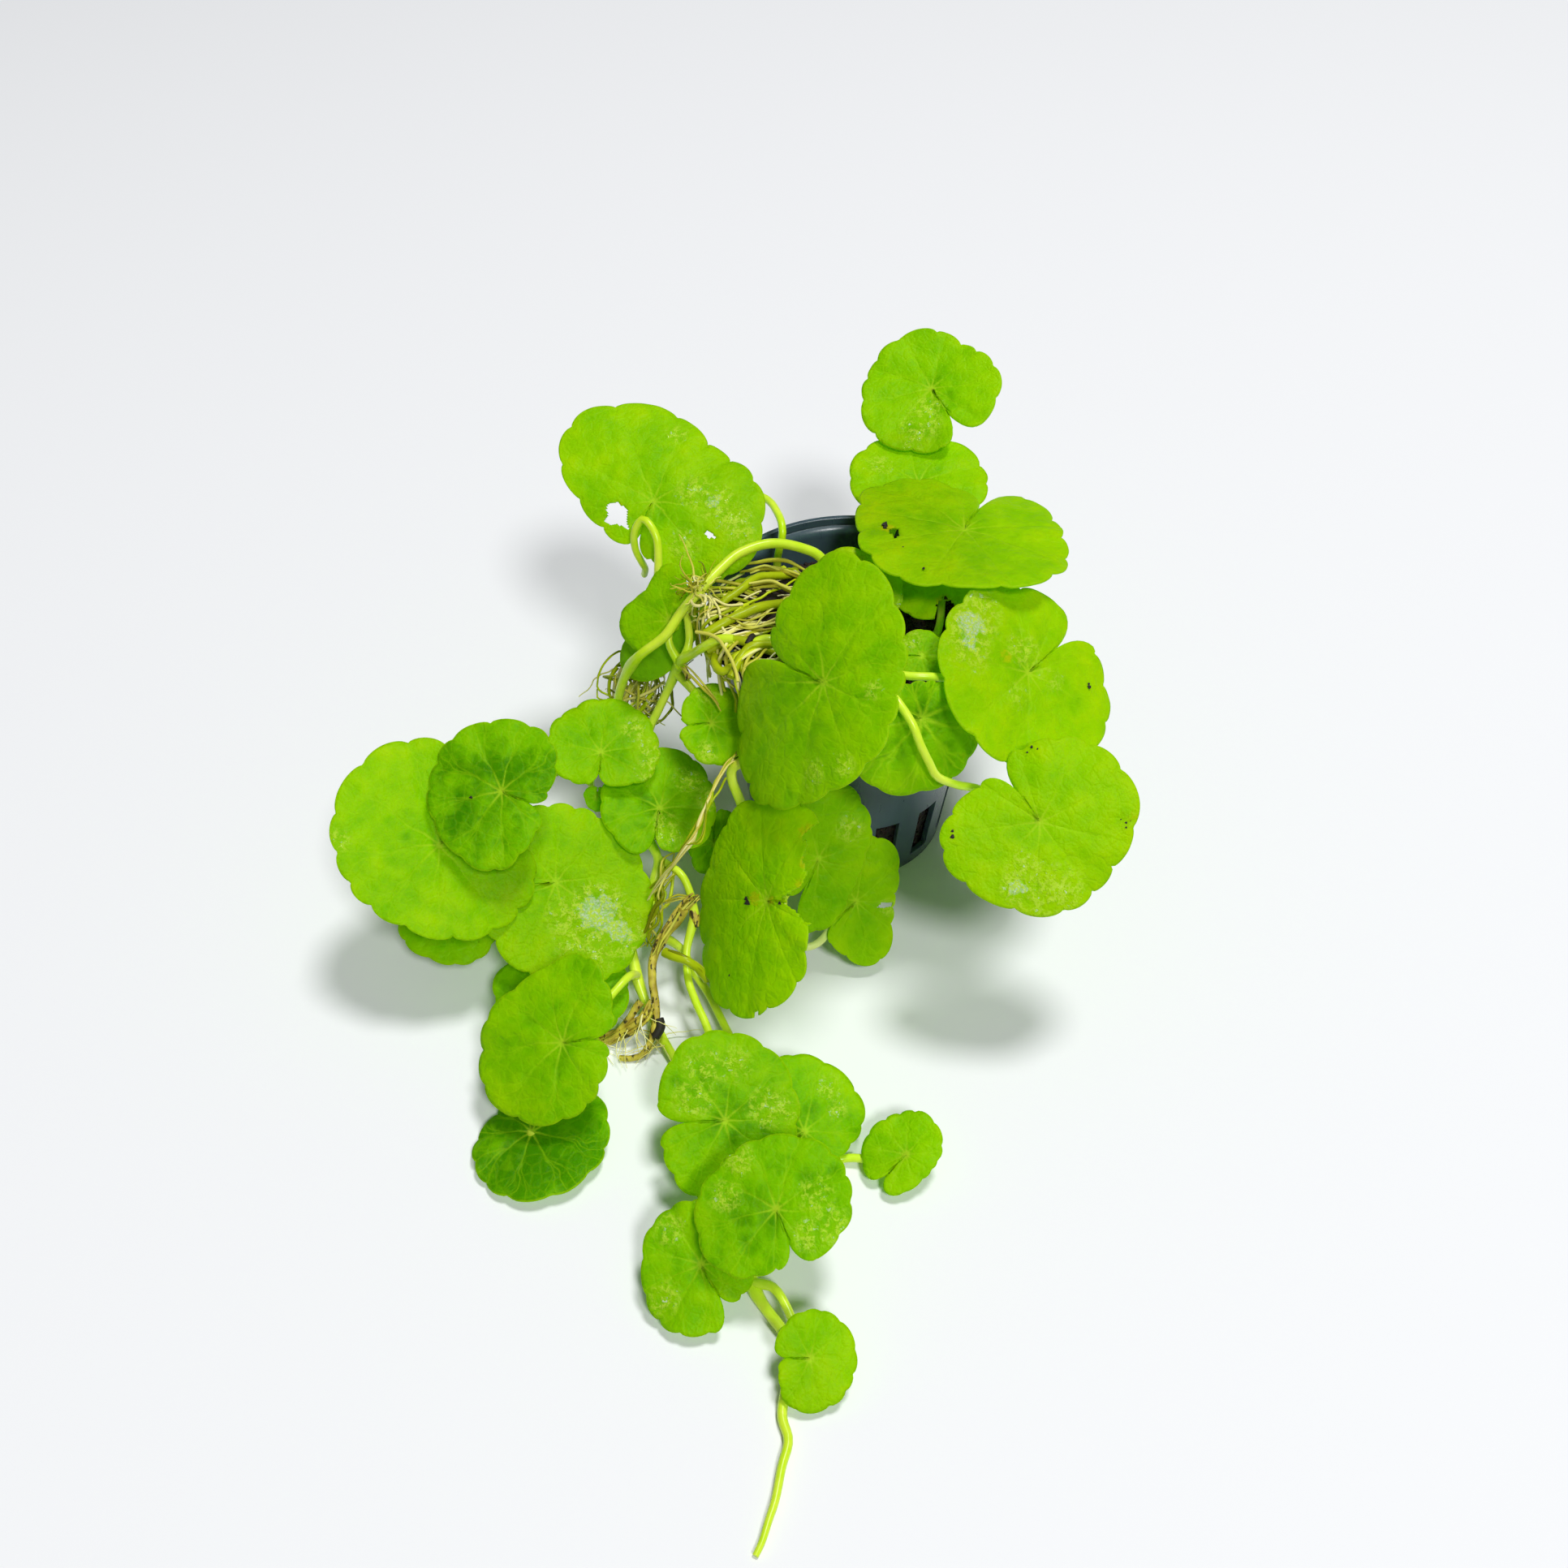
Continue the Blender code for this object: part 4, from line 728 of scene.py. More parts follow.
def bladePlace(leaf):
    # The turn that leans the blade, and the move that takes it to its heart
    tilt, lean = math.radians(leaf["tilt"]), math.radians(leaf["lean"])
    normal = Vector((math.sin(tilt) * math.cos(lean), math.sin(tilt) * math.sin(lean), math.cos(tilt)))
    turned = Vector((0, 0, 1)).rotation_difference(normal).to_matrix().to_4x4()
    sinus = Matrix.Rotation(math.radians(leaf["sinus"]), 4, "Z")
    heart = Vector(leaf["heart"])
    return Matrix.Translation(heart * mm) @ turned @ sinus, normal, heart


def makeLeaf(node, leaf):
    size = sum(leaf["reach"]) / len(leaf["reach"])
    small = min(1.0, size / blade["fullSize"])
    waves = ("ripple", "droop", "quilt", "dimple")
    values = {name.capitalize(): blade[name] * small * mm for name in waves}
    blank = runTree(flatBlade(node, leaf), trees["blade"], values | {
        "Lobes": float(leaf["lobes"]), "Lobe depth": blade["lobeDepth"] * size * mm,
        "Lobe roundness": blade["lobeRound"], "Size": size * mm, "Cup": leaf.get("cup", 0) * mm,
        "Roll": leaf.get("roll", 0) * mm, "Thickness": blade["thickness"] * mm,
        "Roll heading": math.radians(leaf.get("rollAlong", 0) - leaf["sinus"]),
        "Seed": leaf["seed"] * 1.7, "Material": materials["leaf"],
    })
    place, normal, heart = bladePlace(leaf)
    blank.data.transform(place)
    radius = blade["stalkRadius"] * (blade["youngStalk"] if size < blade["youngSize"] else 1.0)
    path = even([Vector(point) for point in leaf["stalk"]], radius)
    path[0] = (path[0][0], blade["stalkJoint"])
    path.append((heart - normal * leaf.get("approach", blade["approach"]), radius))
    path.append((heart - normal * (blade["dimple"] * small + 0.1), radius * blade["stalkTop"]))
    parts = [blank, makeTubes(node + "Stalk", [path], leaf.get("stalkFinish", "stem"), sides=9, step=1.2,
                              wobble=0.5, wobbleLength=9, seed=leaf["seed"])]
    for x, y, radius in leaf.get("specks", []):
        bm = bmesh.new()
        bmesh.ops.create_icosphere(bm, subdivisions=1, radius=radius * mm)
        for vert in bm.verts:
            lump = 1 + 0.35 * math.sin(vert.index * 2.3 + leaf["seed"])
            vert.co = Vector((vert.co.x * lump, vert.co.y * lump * 0.8, vert.co.z * 0.5))
        lift = blade["speckLift"] + bladeHeight(leaf, x, y)
        bmesh.ops.translate(bm, vec=(x * mm, y * mm, lift * mm), verts=bm.verts)
        bm.transform(place)
        parts.append(newMesh(node + "Speck", bm, "speck"))
    keepPiece(parts, node)


def bladeHeight(leaf, x, y):
    # The cup and roll of the blade in millimetres at a point that is given with the sinus along +X
    size = sum(leaf["reach"]) / len(leaf["reach"])
    heading = math.radians(leaf.get("rollAlong", 0) - leaf["sinus"])
    across = y * math.cos(heading) - x * math.sin(heading)
    return (leaf.get("cup", 0) * (x * x + y * y) + leaf.get("roll", 0) * across * across) / size ** 2


for number, (node, leaf) in enumerate(leaves.items()):
    leaf["seed"] = number + 1
    makeLeaf(node, leaf)
print("leaves made:", len(leaves))


# Runners and thick roots, from the pot outwards

runners = {
    "runner_arch": dict(radii=(1.0, 0.9), nodes=(10, 14, 15, 17, 19, 20), route=[(-2, 9, 51.6),
        (-6, 9, 61), (-10, 9, 64), (-16, 8, 66), (-22, 5, 66), (-26, 1, 65), (-30, -3.5, 63),
        (-33.5, -4, 58.5), (-36.5, -6.2, 54.8), (-41.5, -7.2, 50.7), (-43.8, -5.3, 46.3),
        (-45.5, -4.2, 42), (-47, -3.5, 36.5), (-48, -3, 30), (-50, -3, 24), (-55, -3, 19), (-61, -3, 15),
        (-68, -5, 12), (-75, -10, 8), (-80, -19, 4), (-82, -27, 1.2)]),
    "runner_side": dict(radii=(0.9, 0.9), nodes=(4, 5, 6, 11, 12, 14), route=[(-23, -14.5, 60.8),
        (-26, -14, 60.3), (-29, -13, 57.5), (-31, -10, 53.5), (-33, -8, 50.5), (-34, -6.5, 48),
        (-35, -5, 44.5), (-37, -4.5, 39), (-39, -6, 35), (-41, -7.5, 31), (-42, -10, 26), (-42, -16, 21),
        (-41, -26, 20), (-38.5, -32, 19.5), (-39, -36, 17), (-40, -39, 13.5), (-42, -43, 11.5),
        (-43, -46, 10)]),
    "runner_trailing": dict(radii=(0.9, 1.0), nodes=(1, 6, 8, 9), route=[(-43.3, -47, 9.4),
        (-42.3, -51, 6.5), (-40.5, -55, 3.5), (-38.5, -59, 1.8), (-36, -64, 1.2), (-32, -71, 1.2),
        (-28, -82, 1.2), (-25, -92, 1.2), (-21, -104, 1.2), (-19, -112, 1.2), (-17, -116, 1.2),
        (-14, -120, 1.2)]),
    "runner_tip": dict(radii=(1.0, 0.5), route=[(-13.8, -120.5, 1.2), (-13, -124, 1.1), (-13, -128, 1.1),
        (-14, -134, 1.1), (-13, -138, 1), (-14, -142, 0.9), (-15, -147, 0.9), (-16, -150, 0.8),
        (-17, -153, 0.7), (-18, -155, 0.6)]),
    "runner_front": dict(radii=(1.0, 0.9), nodes=(4, 10, 11, 12), route=[(-6, -14, 51.6), (-9, -21, 58.5),
        (-11.5, -26.5, 60.2), (-14, -29.5, 56), (-17, -31, 49.5), (-20, -30, 45), (-23.2, -29.3, 42),
        (-23.5, -29.8, 39), (-22, -31.5, 35), (-20, -34, 29), (-17.5, -38.5, 22), (-15.5, -41.5, 15),
        (-14, -44.5, 8), (-12.5, -47, 1.6)]),
    "runner_branch": dict(radii=(0.8, 0.8), nodes=(3,), route=[(-38.5, -32, 19.5), (-34, -36, 19.5),
        (-32, -39, 17.5), (-31, -43, 15)]),
    "runner_loop": dict(radii=(0.9, 0.7), route=[(-43, 7.5, 39.5), (-42, 8, 44), (-40, 8, 50),
        (-38.8, 7.5, 56), (-38.4, 6.3, 59.4), (-38.2, 7.2, 62.5), (-38.5, 9.5, 66.5), (-41, 12.5, 68.5),
        (-43, 12, 65.5), (-43, 11.5, 62), (-42, 11.5, 59), (-41.5, 13, 56), (-42, 15, 53)]),
}

roots = {
    "root_brown": dict(radii=(0.9, 0.5), route=[(-33, -43.5, 17.5), (-34.5, -45, 15.5), (-37, -47, 13.5),
        (-38.5, -49, 11.5), (-39, -53, 9.5), (-38.5, -57, 7.5), (-38, -60.5, 5.5), (-39, -63.5, 3),
        (-41, -66, 1), (-45, -66, 0.7)]),
    "root_brown_branch": dict(radii=(0.8, 0.5), route=[(-41, -58, 7.5), (-43, -60, 5.5), (-45.5, -61.5, 3),
        (-49, -62.5, 1)]),
    "root_olive": dict(radii=(1.0, 0.8), route=[(-36.5, -50, 12.5), (-34.5, -51.5, 13), (-32, -52.5, 13),
        (-30, -53, 11), (-28.5, -53.5, 8.5)]),
    "root_over_leaf": dict(radii=(0.7, 0.9), route=[(-24.5, -33, 43), (-26, -34.5, 40.5), (-29, -38, 38),
        (-32, -41, 34), (-35, -41.5, 27), (-39.5, -41, 21)]),
}

jointSwell = 1.3


def runnerPath(line, gain=1.0):
    # The route with radii that swell where a leaf or a root joins
    route = line["route"]
    last = len(route) - 1
    start, end = line["radii"]
    path = []
    for index, point in enumerate(route):
        radius = (start + (end - start) * index / last) * gain
        if index in line.get("nodes", ()):
            radius *= jointSwell
        path.append((point, radius))
    return path


def chance(x=1.0, y=1.0, z=1.0):
    # A random move of up to x, y and z either way
    return Vector((rng.uniform(-x, x), rng.uniform(-y, y), rng.uniform(-z, z)))


def wander(start, heading, count, step, curl, space=None, level=1.0):
    # A root's route: it drifts off its heading, and stays in the egg-shaped space if one is given
    points = [Vector(start)]
    heading = Vector(heading).normalized()
    for _ in range(count):
        heading = (heading + chance(1, 1, level) * curl).normalized()
        point = points[-1] + heading * step
        if space:
            centre, radii, floor = space
            egg = Vector([(point[k] - centre[k]) / radii[k] for k in range(3)])
            if egg.length > 1:
                egg.normalize()
                point = Vector([centre[k] + egg[k] * radii[k] for k in range(3)])
            point.z = max(point.z, floor)
            if (point - points[-1]).length > 0.01:
                heading = (heading * 0.6 + (point - points[-1]).normalized() * 0.4).normalized()
        points.append(point)
    return points


def taper(points, radius, tip=0.35):
    # A path that thins to a share of its radius at the tip
    last = len(points) - 1
    return [(point, radius * (1 - (1 - tip) * (index / last) ** 1.5)) for index, point in enumerate(points)]


def bundle(route, count, spread, radius, sway=0.3):
    # Strands that follow one route side by side, each with its own sway
    last = len(route) - 1
    paths = []
    for _ in range(count):
        offset = chance() * spread
        size = radius * rng.uniform(0.7, 1.25)
        paths.append([(Vector(point) + offset + chance() * sway,
                       size * (0.3 + 0.7 * math.sin(math.pi * (0.12 + 0.8 * index / last))))
                      for index, point in enumerate(route)])
    return paths


# One seeded source for every root from here on
rng = random.Random(11)

# Fine curly roots where the arching runner bends down, with a pale loop under them
tuft = {
    "place": (-29.8, -3.0, 63.4), "count": 40, "length": (5, 11), "step": 0.75, "curl": 0.72,
    "radius": 0.24, "tallRadius": 0.26, "loopRadius": 0.3,
    "loop": [(-31.2, -5.6, 62.6), (-30.6, -7, 62.8), (-29.4, -7.4, 63), (-28.5, -6.4, 63.2),
             (-28.7, -4.9, 63.2), (-29.8, -4.2, 63)],
}


def tuftRoots():
    place = Vector(tuft["place"])
    paths = []
    for _ in range(tuft["count"]):
        heading = chance(1, 0.9, 0.9) + Vector((-0.15, 0.25, 0.2))
        count = round(rng.uniform(*tuft["length"]))
        start = place + chance(1.2, 1.0, 0.8)
        paths.append(taper(wander(start, heading, count, tuft["step"], tuft["curl"]), tuft["radius"]))
    tall = wander(place + Vector((-0.6, 0.8, 0.4)), (-0.25, 0.6, 0.7), 12, 0.9, 0.22)
    paths.append(taper(tall, tuft["tallRadius"]))
    half = len(paths) // 2
    return [makeTubes("tuftOlive", paths[:half], "oldStem", sides=5, step=0.5),
            makeTubes("tuftPale", paths[half:], "root", sides=5, step=0.5),
            makeTubes("paleLoop", [even(tuft["loop"], tuft["loopRadius"])], "fineRoot", sides=6, step=0.5)]


# Short roots and dry bits where runners knot or end
branchEnd = [((-31.3, -42.2, 15.6), 0.85), ((-30.9, -43.6, 14.8), 1.0), ((-30.5, -45, 14), 0.4)]
sideKnot = [((-33.6, -7, 49.4), 0.7), ((-33.8, -6.6, 48.4), 1.35), ((-34.1, -6.3, 47.2), 1.3),
            ((-34.4, -6, 46.2), 0.7)]
sideRoutes = {
    "pale": [(-31.4, -9.4, 52), (-29.6, -10.4, 55), (-27.6, -10.8, 57.4), (-25.5, -10.6, 58.8)],
    "drops": [(-33.4, -8, 49), (-31, -13, 51), (-29, -16.5, 51), (-27, -18.5, 50), (-25.4, -20, 48.5)],
    "bit": [(-33.2, -7.4, 47.6), (-32.6, -8.2, 46.6), (-32.4, -9, 46)],
}
trailRoots = {
    "place": (-37.5, -62.0, 1.6), "count": 9, "points": 9, "step": 0.9, "curl": 0.35, "radius": 0.13,
}


def runnerExtras(name):
    # What grows on one runner besides its tube
    if name == "runner_arch":
        return tuftRoots()
    if name == "runner_branch":
        return [makeTubes("branchEnd", [branchEnd], "brownRoot", sides=7, step=0.5, wobble=0.3)]
    if name == "runner_side":
        strands = bundle(sideRoutes["pale"], 3, 0.5, 0.32) + bundle(sideRoutes["drops"], 2, 0.6, 0.26)
        bit = [even(sideRoutes["bit"], 0.6)]
        return [makeTubes("sideKnot", [sideKnot], "stem", sides=9, step=0.4),
                makeTubes("sideRoots", strands, "root", sides=5, step=0.6),
                makeTubes("sideBit", bit, "brownRoot", sides=6, step=0.4, wobble=0.3)]
    if name == "runner_trailing":
        paths = []
        own = trailRoots
        for _ in range(own["count"]):
            start = Vector(own["place"]) + chance(1.5, 2.5, 0.3)
            heading = chance(1, 1, 0) + Vector((-0.5, -0.3, 0))
            points = wander(start, heading, own["points"], own["step"], own["curl"], None, 0.1)
            paths.append(taper(points, own["radius"]))
        return [makeTubes("trailingRoots", paths, "fineRoot", sides=5, step=0.6)]
    return []


for name, line in runners.items():
    parts = [makeTubes(name + "Tube", [runnerPath(line)], "stem", sides=10, wobble=0.35, wobbleLength=11,
                       seed=3.0)]
    keepPiece(parts + runnerExtras(name), name)
print("runners made")

# The thick roots. Each is one tube with finer strands beside it.
strandRoutes = {
    "overLeaf": [(-22.6, -28.4, 43.6), (-24.4, -30.2, 43.4), (-26.7, -33.8, 41.4), (-27.9, -37, 40),
        (-29.3, -40.1, 38), (-30.2, -42.4, 36.6), (-32, -43.6, 34.6), (-34, -44, 31.6), (-37, -44, 26.5),
        (-39.4, -43.6, 21)],
    "sideLoop": [(-27.4, -36.5, 40), (-28, -39.5, 39), (-28.4, -42.8, 37.2), (-29.6, -44, 36.4),
        (-31.2, -43.4, 36)],
    "behind": [(-36.4, -34.6, 21.5), (-37.4, -37.6, 20.4), (-38.6, -40.4, 18.4), (-39.6, -42.6, 16),
        (-40.4, -44, 13.4), (-41, -45, 11)],
    "knot": [(-30.6, -41.2, 18.6), (-32.4, -42.3, 17.6), (-34.2, -44.2, 16.4), (-36.2, -46.9, 15),
        (-37.6, -48.8, 13.8), (-38.5, -50, 12)],
    "across": [(-31, -41.4, 18.2), (-33.6, -41.2, 18.2), (-36.4, -41.6, 17.2)],
    "mat": [(-38.7, -58.2, 7.8), (-40, -60, 6.6), (-42.2, -61.2, 4.6), (-45, -61.8, 2.8),
        (-48.6, -62.4, 1.5), (-51, -61.8, 1)],
    "tip": [(-37.6, -60.6, 5.6), (-37.2, -62, 4.8), (-38.2, -63.4, 3.6)],
}
coreGain = {"root_over_leaf": 0.32, "root_brown": 1.15}


def rootStrands(name):
    # The finer strands of one thick root: (paths, finish) pairs
    route = strandRoutes
    if name == "root_over_leaf":
        loops = bundle(route["overLeaf"], 4, 0.45, 0.24)
        olive = bundle(route["overLeaf"], 2, 0.6, 0.24) + bundle(route["sideLoop"], 2, 0.5, 0.22)
        return [(loops, "fineRoot"), (olive, "oldStem"),
                (bundle(route["behind"], 8, 1.9, 0.36, 1.1), "oldStem"),
                (bundle(route["behind"], 6, 2.2, 0.24, 1.3), "root")]
    if name == "root_brown":
        return [(bundle(route["knot"], 5, 0.8, 0.26), "root"),
                (bundle(route["knot"], 4, 0.9, 0.34), "brownRoot"),
                (bundle(route["across"], 4, 0.6, 0.2), "root"), ([even(route["tip"], 0.95)], "speck")]
    if name == "root_brown_branch":
        hairs = []
        for _ in range(16):
            start = Vector(rng.choice(route["mat"][1:])) + chance(0.8, 0.8, 0.4)
            heading = (rng.uniform(-0.6, 1), -1, -0.25)
            hair = taper(wander(start, heading, 8, 0.9, 0.3, None, 0.3), 0.11)
            hairs.append([(Vector((point.x, point.y, max(point.z, 0.4))), size) for point, size in hair])
        return [(bundle(route["mat"], 6, 0.6, 0.45, 0.5), "brownRoot"), (hairs, "fineRoot")]
    own = roots[name]["route"]
    return [(bundle(own, 4, 0.6, 0.4), "oldStem"), (bundle(own, 2, 0.8, 0.2), "root")]


for name, line in roots.items():
    aged = name.startswith("root_brown")
    core = runnerPath(line, coreGain.get(name, 1.0))
    parts = [makeTubes(name + "Tube", [core], "brownRoot" if aged else "oldStem", sides=9, step=0.6,
                       wobble=0.7, wobbleLength=3.5, seed=8.0)]
    for index, (paths, finish) in enumerate(rootStrands(name)):
        parts.append(makeTubes(f"{name}Strands{index}", paths, finish, sides=6, step=0.7, wobble=0.4))
    keepPiece(parts, name)
print("thick roots made")


# The root heap. A kind is (finish, how many, radius, step, curl, points), and spillRoute has how far
# out and how high a root is where it hangs over the rim.
heap = {
    "centre": (-16.5, -4.5, 55.0), "radii": (13.0, 18.5, 5.4), "floor": 51.0, "core": (11.4, 16.6, 4.1),
    "kinds": [("oldStem", 8, 0.85, 1.6, 0.16, 11), ("oldStem", 20, 0.38, 1.4, 0.2, 13),
              ("root", 24, 0.33, 1.4, 0.22, 13), ("fineRoot", 26, 0.18, 1.2, 0.3, 16)],
    "spills": 12, "spillFrom": 168, "spillTo": 236,
    "spillRoute": [(17, 57.5), (22, 59.6), (26.6, 60), (29.2, 59), (29.8, 56.5), (29.6, 53),
                   (29.4, 49.5), (29.2, 46)],
}

# The heap's clearest stems and strands: (finish, radius, route)
heapLines = [
    ("oldStem", 0.95, [(-28.6, -11.1, 59), (-25.2, -9.4, 60.2), (-21.2, -7, 61), (-17.7, -5.1, 61),
        (-12, -1.5, 59)]),
    ("oldStem", 0.9, [(-28, -13.5, 57.5), (-23.2, -14, 60), (-20.6, -14.9, 60.4), (-15, -16.4, 59)]),
    ("stem", 0.95, [(-20.5, -15.8, 60), (-17.2, -14.7, 61), (-12, -15.4, 60)]),
    ("oldStem", 0.8, [(-23.4, -22.6, 58.5), (-21, -17.6, 60.4), (-18.5, -16.2, 60.9), (-13, -15, 59.5)]),
    ("oldStem", 0.85, [(-26.6, -13, 56.6), (-26.4, -17.4, 57), (-25, -19.6, 57.4), (-22.1, -18.9, 58.4),
        (-15, -18.7, 58.2)]),
    ("oldStem", 0.8, [(-26, -3, 59.6), (-21.8, 0.5, 60.8), (-18.3, 4.7, 60.6), (-12, 7.4, 58.6)]),
    ("root", 0.85, [(-21, 8.4, 59.4), (-16.4, 9, 60.4), (-12.4, 7.2, 60.6), (-8, 5.8, 59.4)]),
    ("root", 0.75, [(-20.5, 2, 60.4), (-17, 2.6, 61), (-14.6, 1.3, 61), (-10, -0.4, 59.6)]),
    ("root", 0.55, [(-24.6, -8.6, 60.2), (-19.9, -11.2, 61), (-16.1, -10, 61), (-11, -6.6, 59.6)]),
    ("root", 0.34, [(-30.2, -11.8, 60.2), (-27.9, -13.2, 61), (-25.9, -15.1, 61.2), (-24.6, -17.4, 61.2),
        (-23.5, -19.9, 60.8), (-22.6, -22.2, 60), (-22.1, -24.4, 59)]),
    ("fineRoot", 0.26, [(-28.4, 0.3, 60.4), (-27.8, -3.4, 60.2), (-28, -6.5, 60), (-27.1, -9.9, 59.6)]),
    ("fineRoot", 0.26, [(-28.2, -0.6, 60.8), (-26, -5.8, 60.8), (-25.3, -10.6, 60.2), (-23, -13, 60)]),
    ("fineRoot", 0.26, [(-29.2, -1.9, 60.6), (-27.1, -2.6, 61), (-24.7, -4.6, 61), (-21.5, -4, 60.6)]),
    ("speck", 0.62, [(-20.4, -16, 61), (-19.8, -14.9, 61.5), (-19.5, -13.9, 61.1)]),
]

# The loose roots outside the pot, and links that lead from the heap to them
tangle = {
    "centre": (-44.2, 4.5, 31.5), "radii": (7.0, 7.0, 7.5), "floor": 20.0, "strands": 46,
    "strandRadius": (0.2, 0.55), "loose": 14, "looseRadius": 0.2, "links": 7, "linkRadius": 0.22,
}


def eggPoint(centre, radii, low, high):
    # A random point in an egg, with its height between two shares
    heading = rng.uniform(0, 2 * math.pi)
    rise = rng.uniform(low, high)
    flat = math.sqrt(max(0.0, 1 - rise * rise)) * rng.uniform(0.5, 1.0)
    share = (flat * math.cos(heading), flat * math.sin(heading), rise)
    return [centre[k] + radii[k] * share[k] for k in range(3)]


def spillPath(radius):
    # A root that hangs over the pot's rim and down its outside
    turn = rng.uniform(heap["spillFrom"], heap["spillTo"])
    drift = rng.uniform(-2.5, 2.5)
    out = rng.uniform(0.0, 1.4)
    path = []
    for reach, height in heap["spillRoute"][:rng.randint(5, 8)]:
        turn += drift + rng.uniform(-2.2, 2.2)
        heading = math.radians(turn)
        far = reach + out
        flat = (far * math.cos(heading), far * math.sin(heading))
        path.append((Vector((*flat, height + out * 0.4)), radius))
    return path


def paintedShadeCore():
    # A dark peat-coloured lump in the middle of the heap: painted shade, which shows as black gaps between
    # the roots
    bm = bmesh.new()
    bmesh.ops.create_icosphere(bm, subdivisions=4, radius=1.0)
    for vert in bm.verts:
        lump = 1 + 0.05 * math.sin(9 * vert.co.x + 4 * vert.co.y) + 0.04 * math.sin(11 * vert.co.y)
        vert.co = Vector([(heap["centre"][k] + vert.co[k] * lump * heap["core"][k]) * mm for k in range(3)])
        vert.co.z = max(vert.co.z, (heap["floor"] - 0.5) * mm)
    return newMesh("heapCore", bm, "peat")


def makeHeap():
    space = (heap["centre"], heap["radii"], heap["floor"])
    parts = [paintedShadeCore()]
    for index, (finish, total, radius, step, curl, count) in enumerate(heap["kinds"]):
        paths = []
        for _ in range(total):
            start = eggPoint(heap["centre"], heap["radii"], 0.1, 0.9)
            flow = rng.choice((-1, 1))
            heading = (flow * rng.uniform(0.3, 1), flow * rng.uniform(0.0, 1), rng.uniform(-0.2, 0.2))
            points = wander(start, heading, count, step, curl, space, 0.5)
            paths.append(taper(points, radius * rng.uniform(0.7, 1.2), 0.6))
        if index:  # all but the thick stems spill over the rim
            paths += [spillPath(radius * rng.uniform(0.7, 1.1)) for _ in range(heap["spills"])]
        parts.append(makeTubes(f"heap{index}", paths, finish, sides=6, step=0.9, wobble=0.5,
                               wobbleLength=3))
    for index, (finish, radius, route) in enumerate(heapLines):
        twisted = radius > 0.4 and finish == "root"
        paths = bundle(route, 4, 1.1, radius * 0.42, 0.5) if twisted else [even(route, radius)]
        parts.append(makeTubes(f"heapLine{index}", paths, finish, sides=8, step=0.7,
                               wobble=0.6, wobbleLength=4, seed=index * 3.1))
    keepPiece(parts, "root_heap")


def makeTangle():
    sets = {"root": [], "oldStem": [], "fineRoot": []}
    for index in range(tangle["strands"]):
        size = rng.uniform(0.55, 1.35)
        space = (tangle["centre"], [radius * size for radius in tangle["radii"]], tangle["floor"])
        start = eggPoint(tangle["centre"], tangle["radii"], -0.8, 0.9)
        heading = (rng.uniform(-1, 0.6), rng.uniform(-1, 1), rng.uniform(-1.2, 0.5))
        finish = ("oldStem", "root", "oldStem", "fineRoot")[index % 4]
        points = wander(start, heading, rng.randint(8, 13), 1.5, 0.22, space)
        sets[finish].append(taper(points, rng.uniform(*tangle["strandRadius"]), 0.5))
    for index in range(tangle["loose"]):
        start = eggPoint(tangle["centre"], tangle["radii"], -0.4, 0.6)
        out = Vector(start) - Vector(tangle["centre"]) + chance(3, 3, 3)
        points = wander(start, out, rng.randint(7, 12), 1.2, 0.3)
        sets[("root", "fineRoot")[index % 2]].append(taper(points, tangle["looseRadius"], 0.5))
    for _ in range(tangle["links"]):
        a, b = rng.uniform(-1, 1), rng.uniform(-1, 1)
        route = [(-25 + a, -2 + 4 * b, 59.6), (-29.5 + a, -2 + 4 * b, 58.6 + 0.5 * a),
                 (-33 + a, 1 + 3 * b, 53), (-38 + a, 3 + 3 * b, 44), (-42 + 2 * a, 5 + 3 * b, 36),
                 (-44 + 2 * a, 5 + 2 * b, 28)]
        sets["root"].append(even(route, tangle["linkRadius"]))
    parts = [makeTubes(f"tangle{finish}", paths, finish, sides=5, step=0.8, wobble=0.8, wobbleLength=4)
             for finish, paths in sets.items()]
    keepPiece(parts, "root_tangle")


makeHeap()
makeTangle()
print("root heap and tangle made")


# The net pot. slotShare is how much of the way from slot to slot is open, and stepsPerSlot is the
# number of faces along that way.
pot = {
    "height": 58.0, "baseRadius": 20.5, "rimRadius": 27.5, "wall": 1.2, "floor": 1.6,
    "lipWidth": 0.9, "lipHeight": 2.4, "slots": 14, "slotShare": 0.5, "slotBottom": 3.0, "slotTop": 17.0,
    "stepsPerSlot": 16, "rows": 116, "floorSides": 112, "edgeRound": 0.18, "edgeAngle": 50,
}


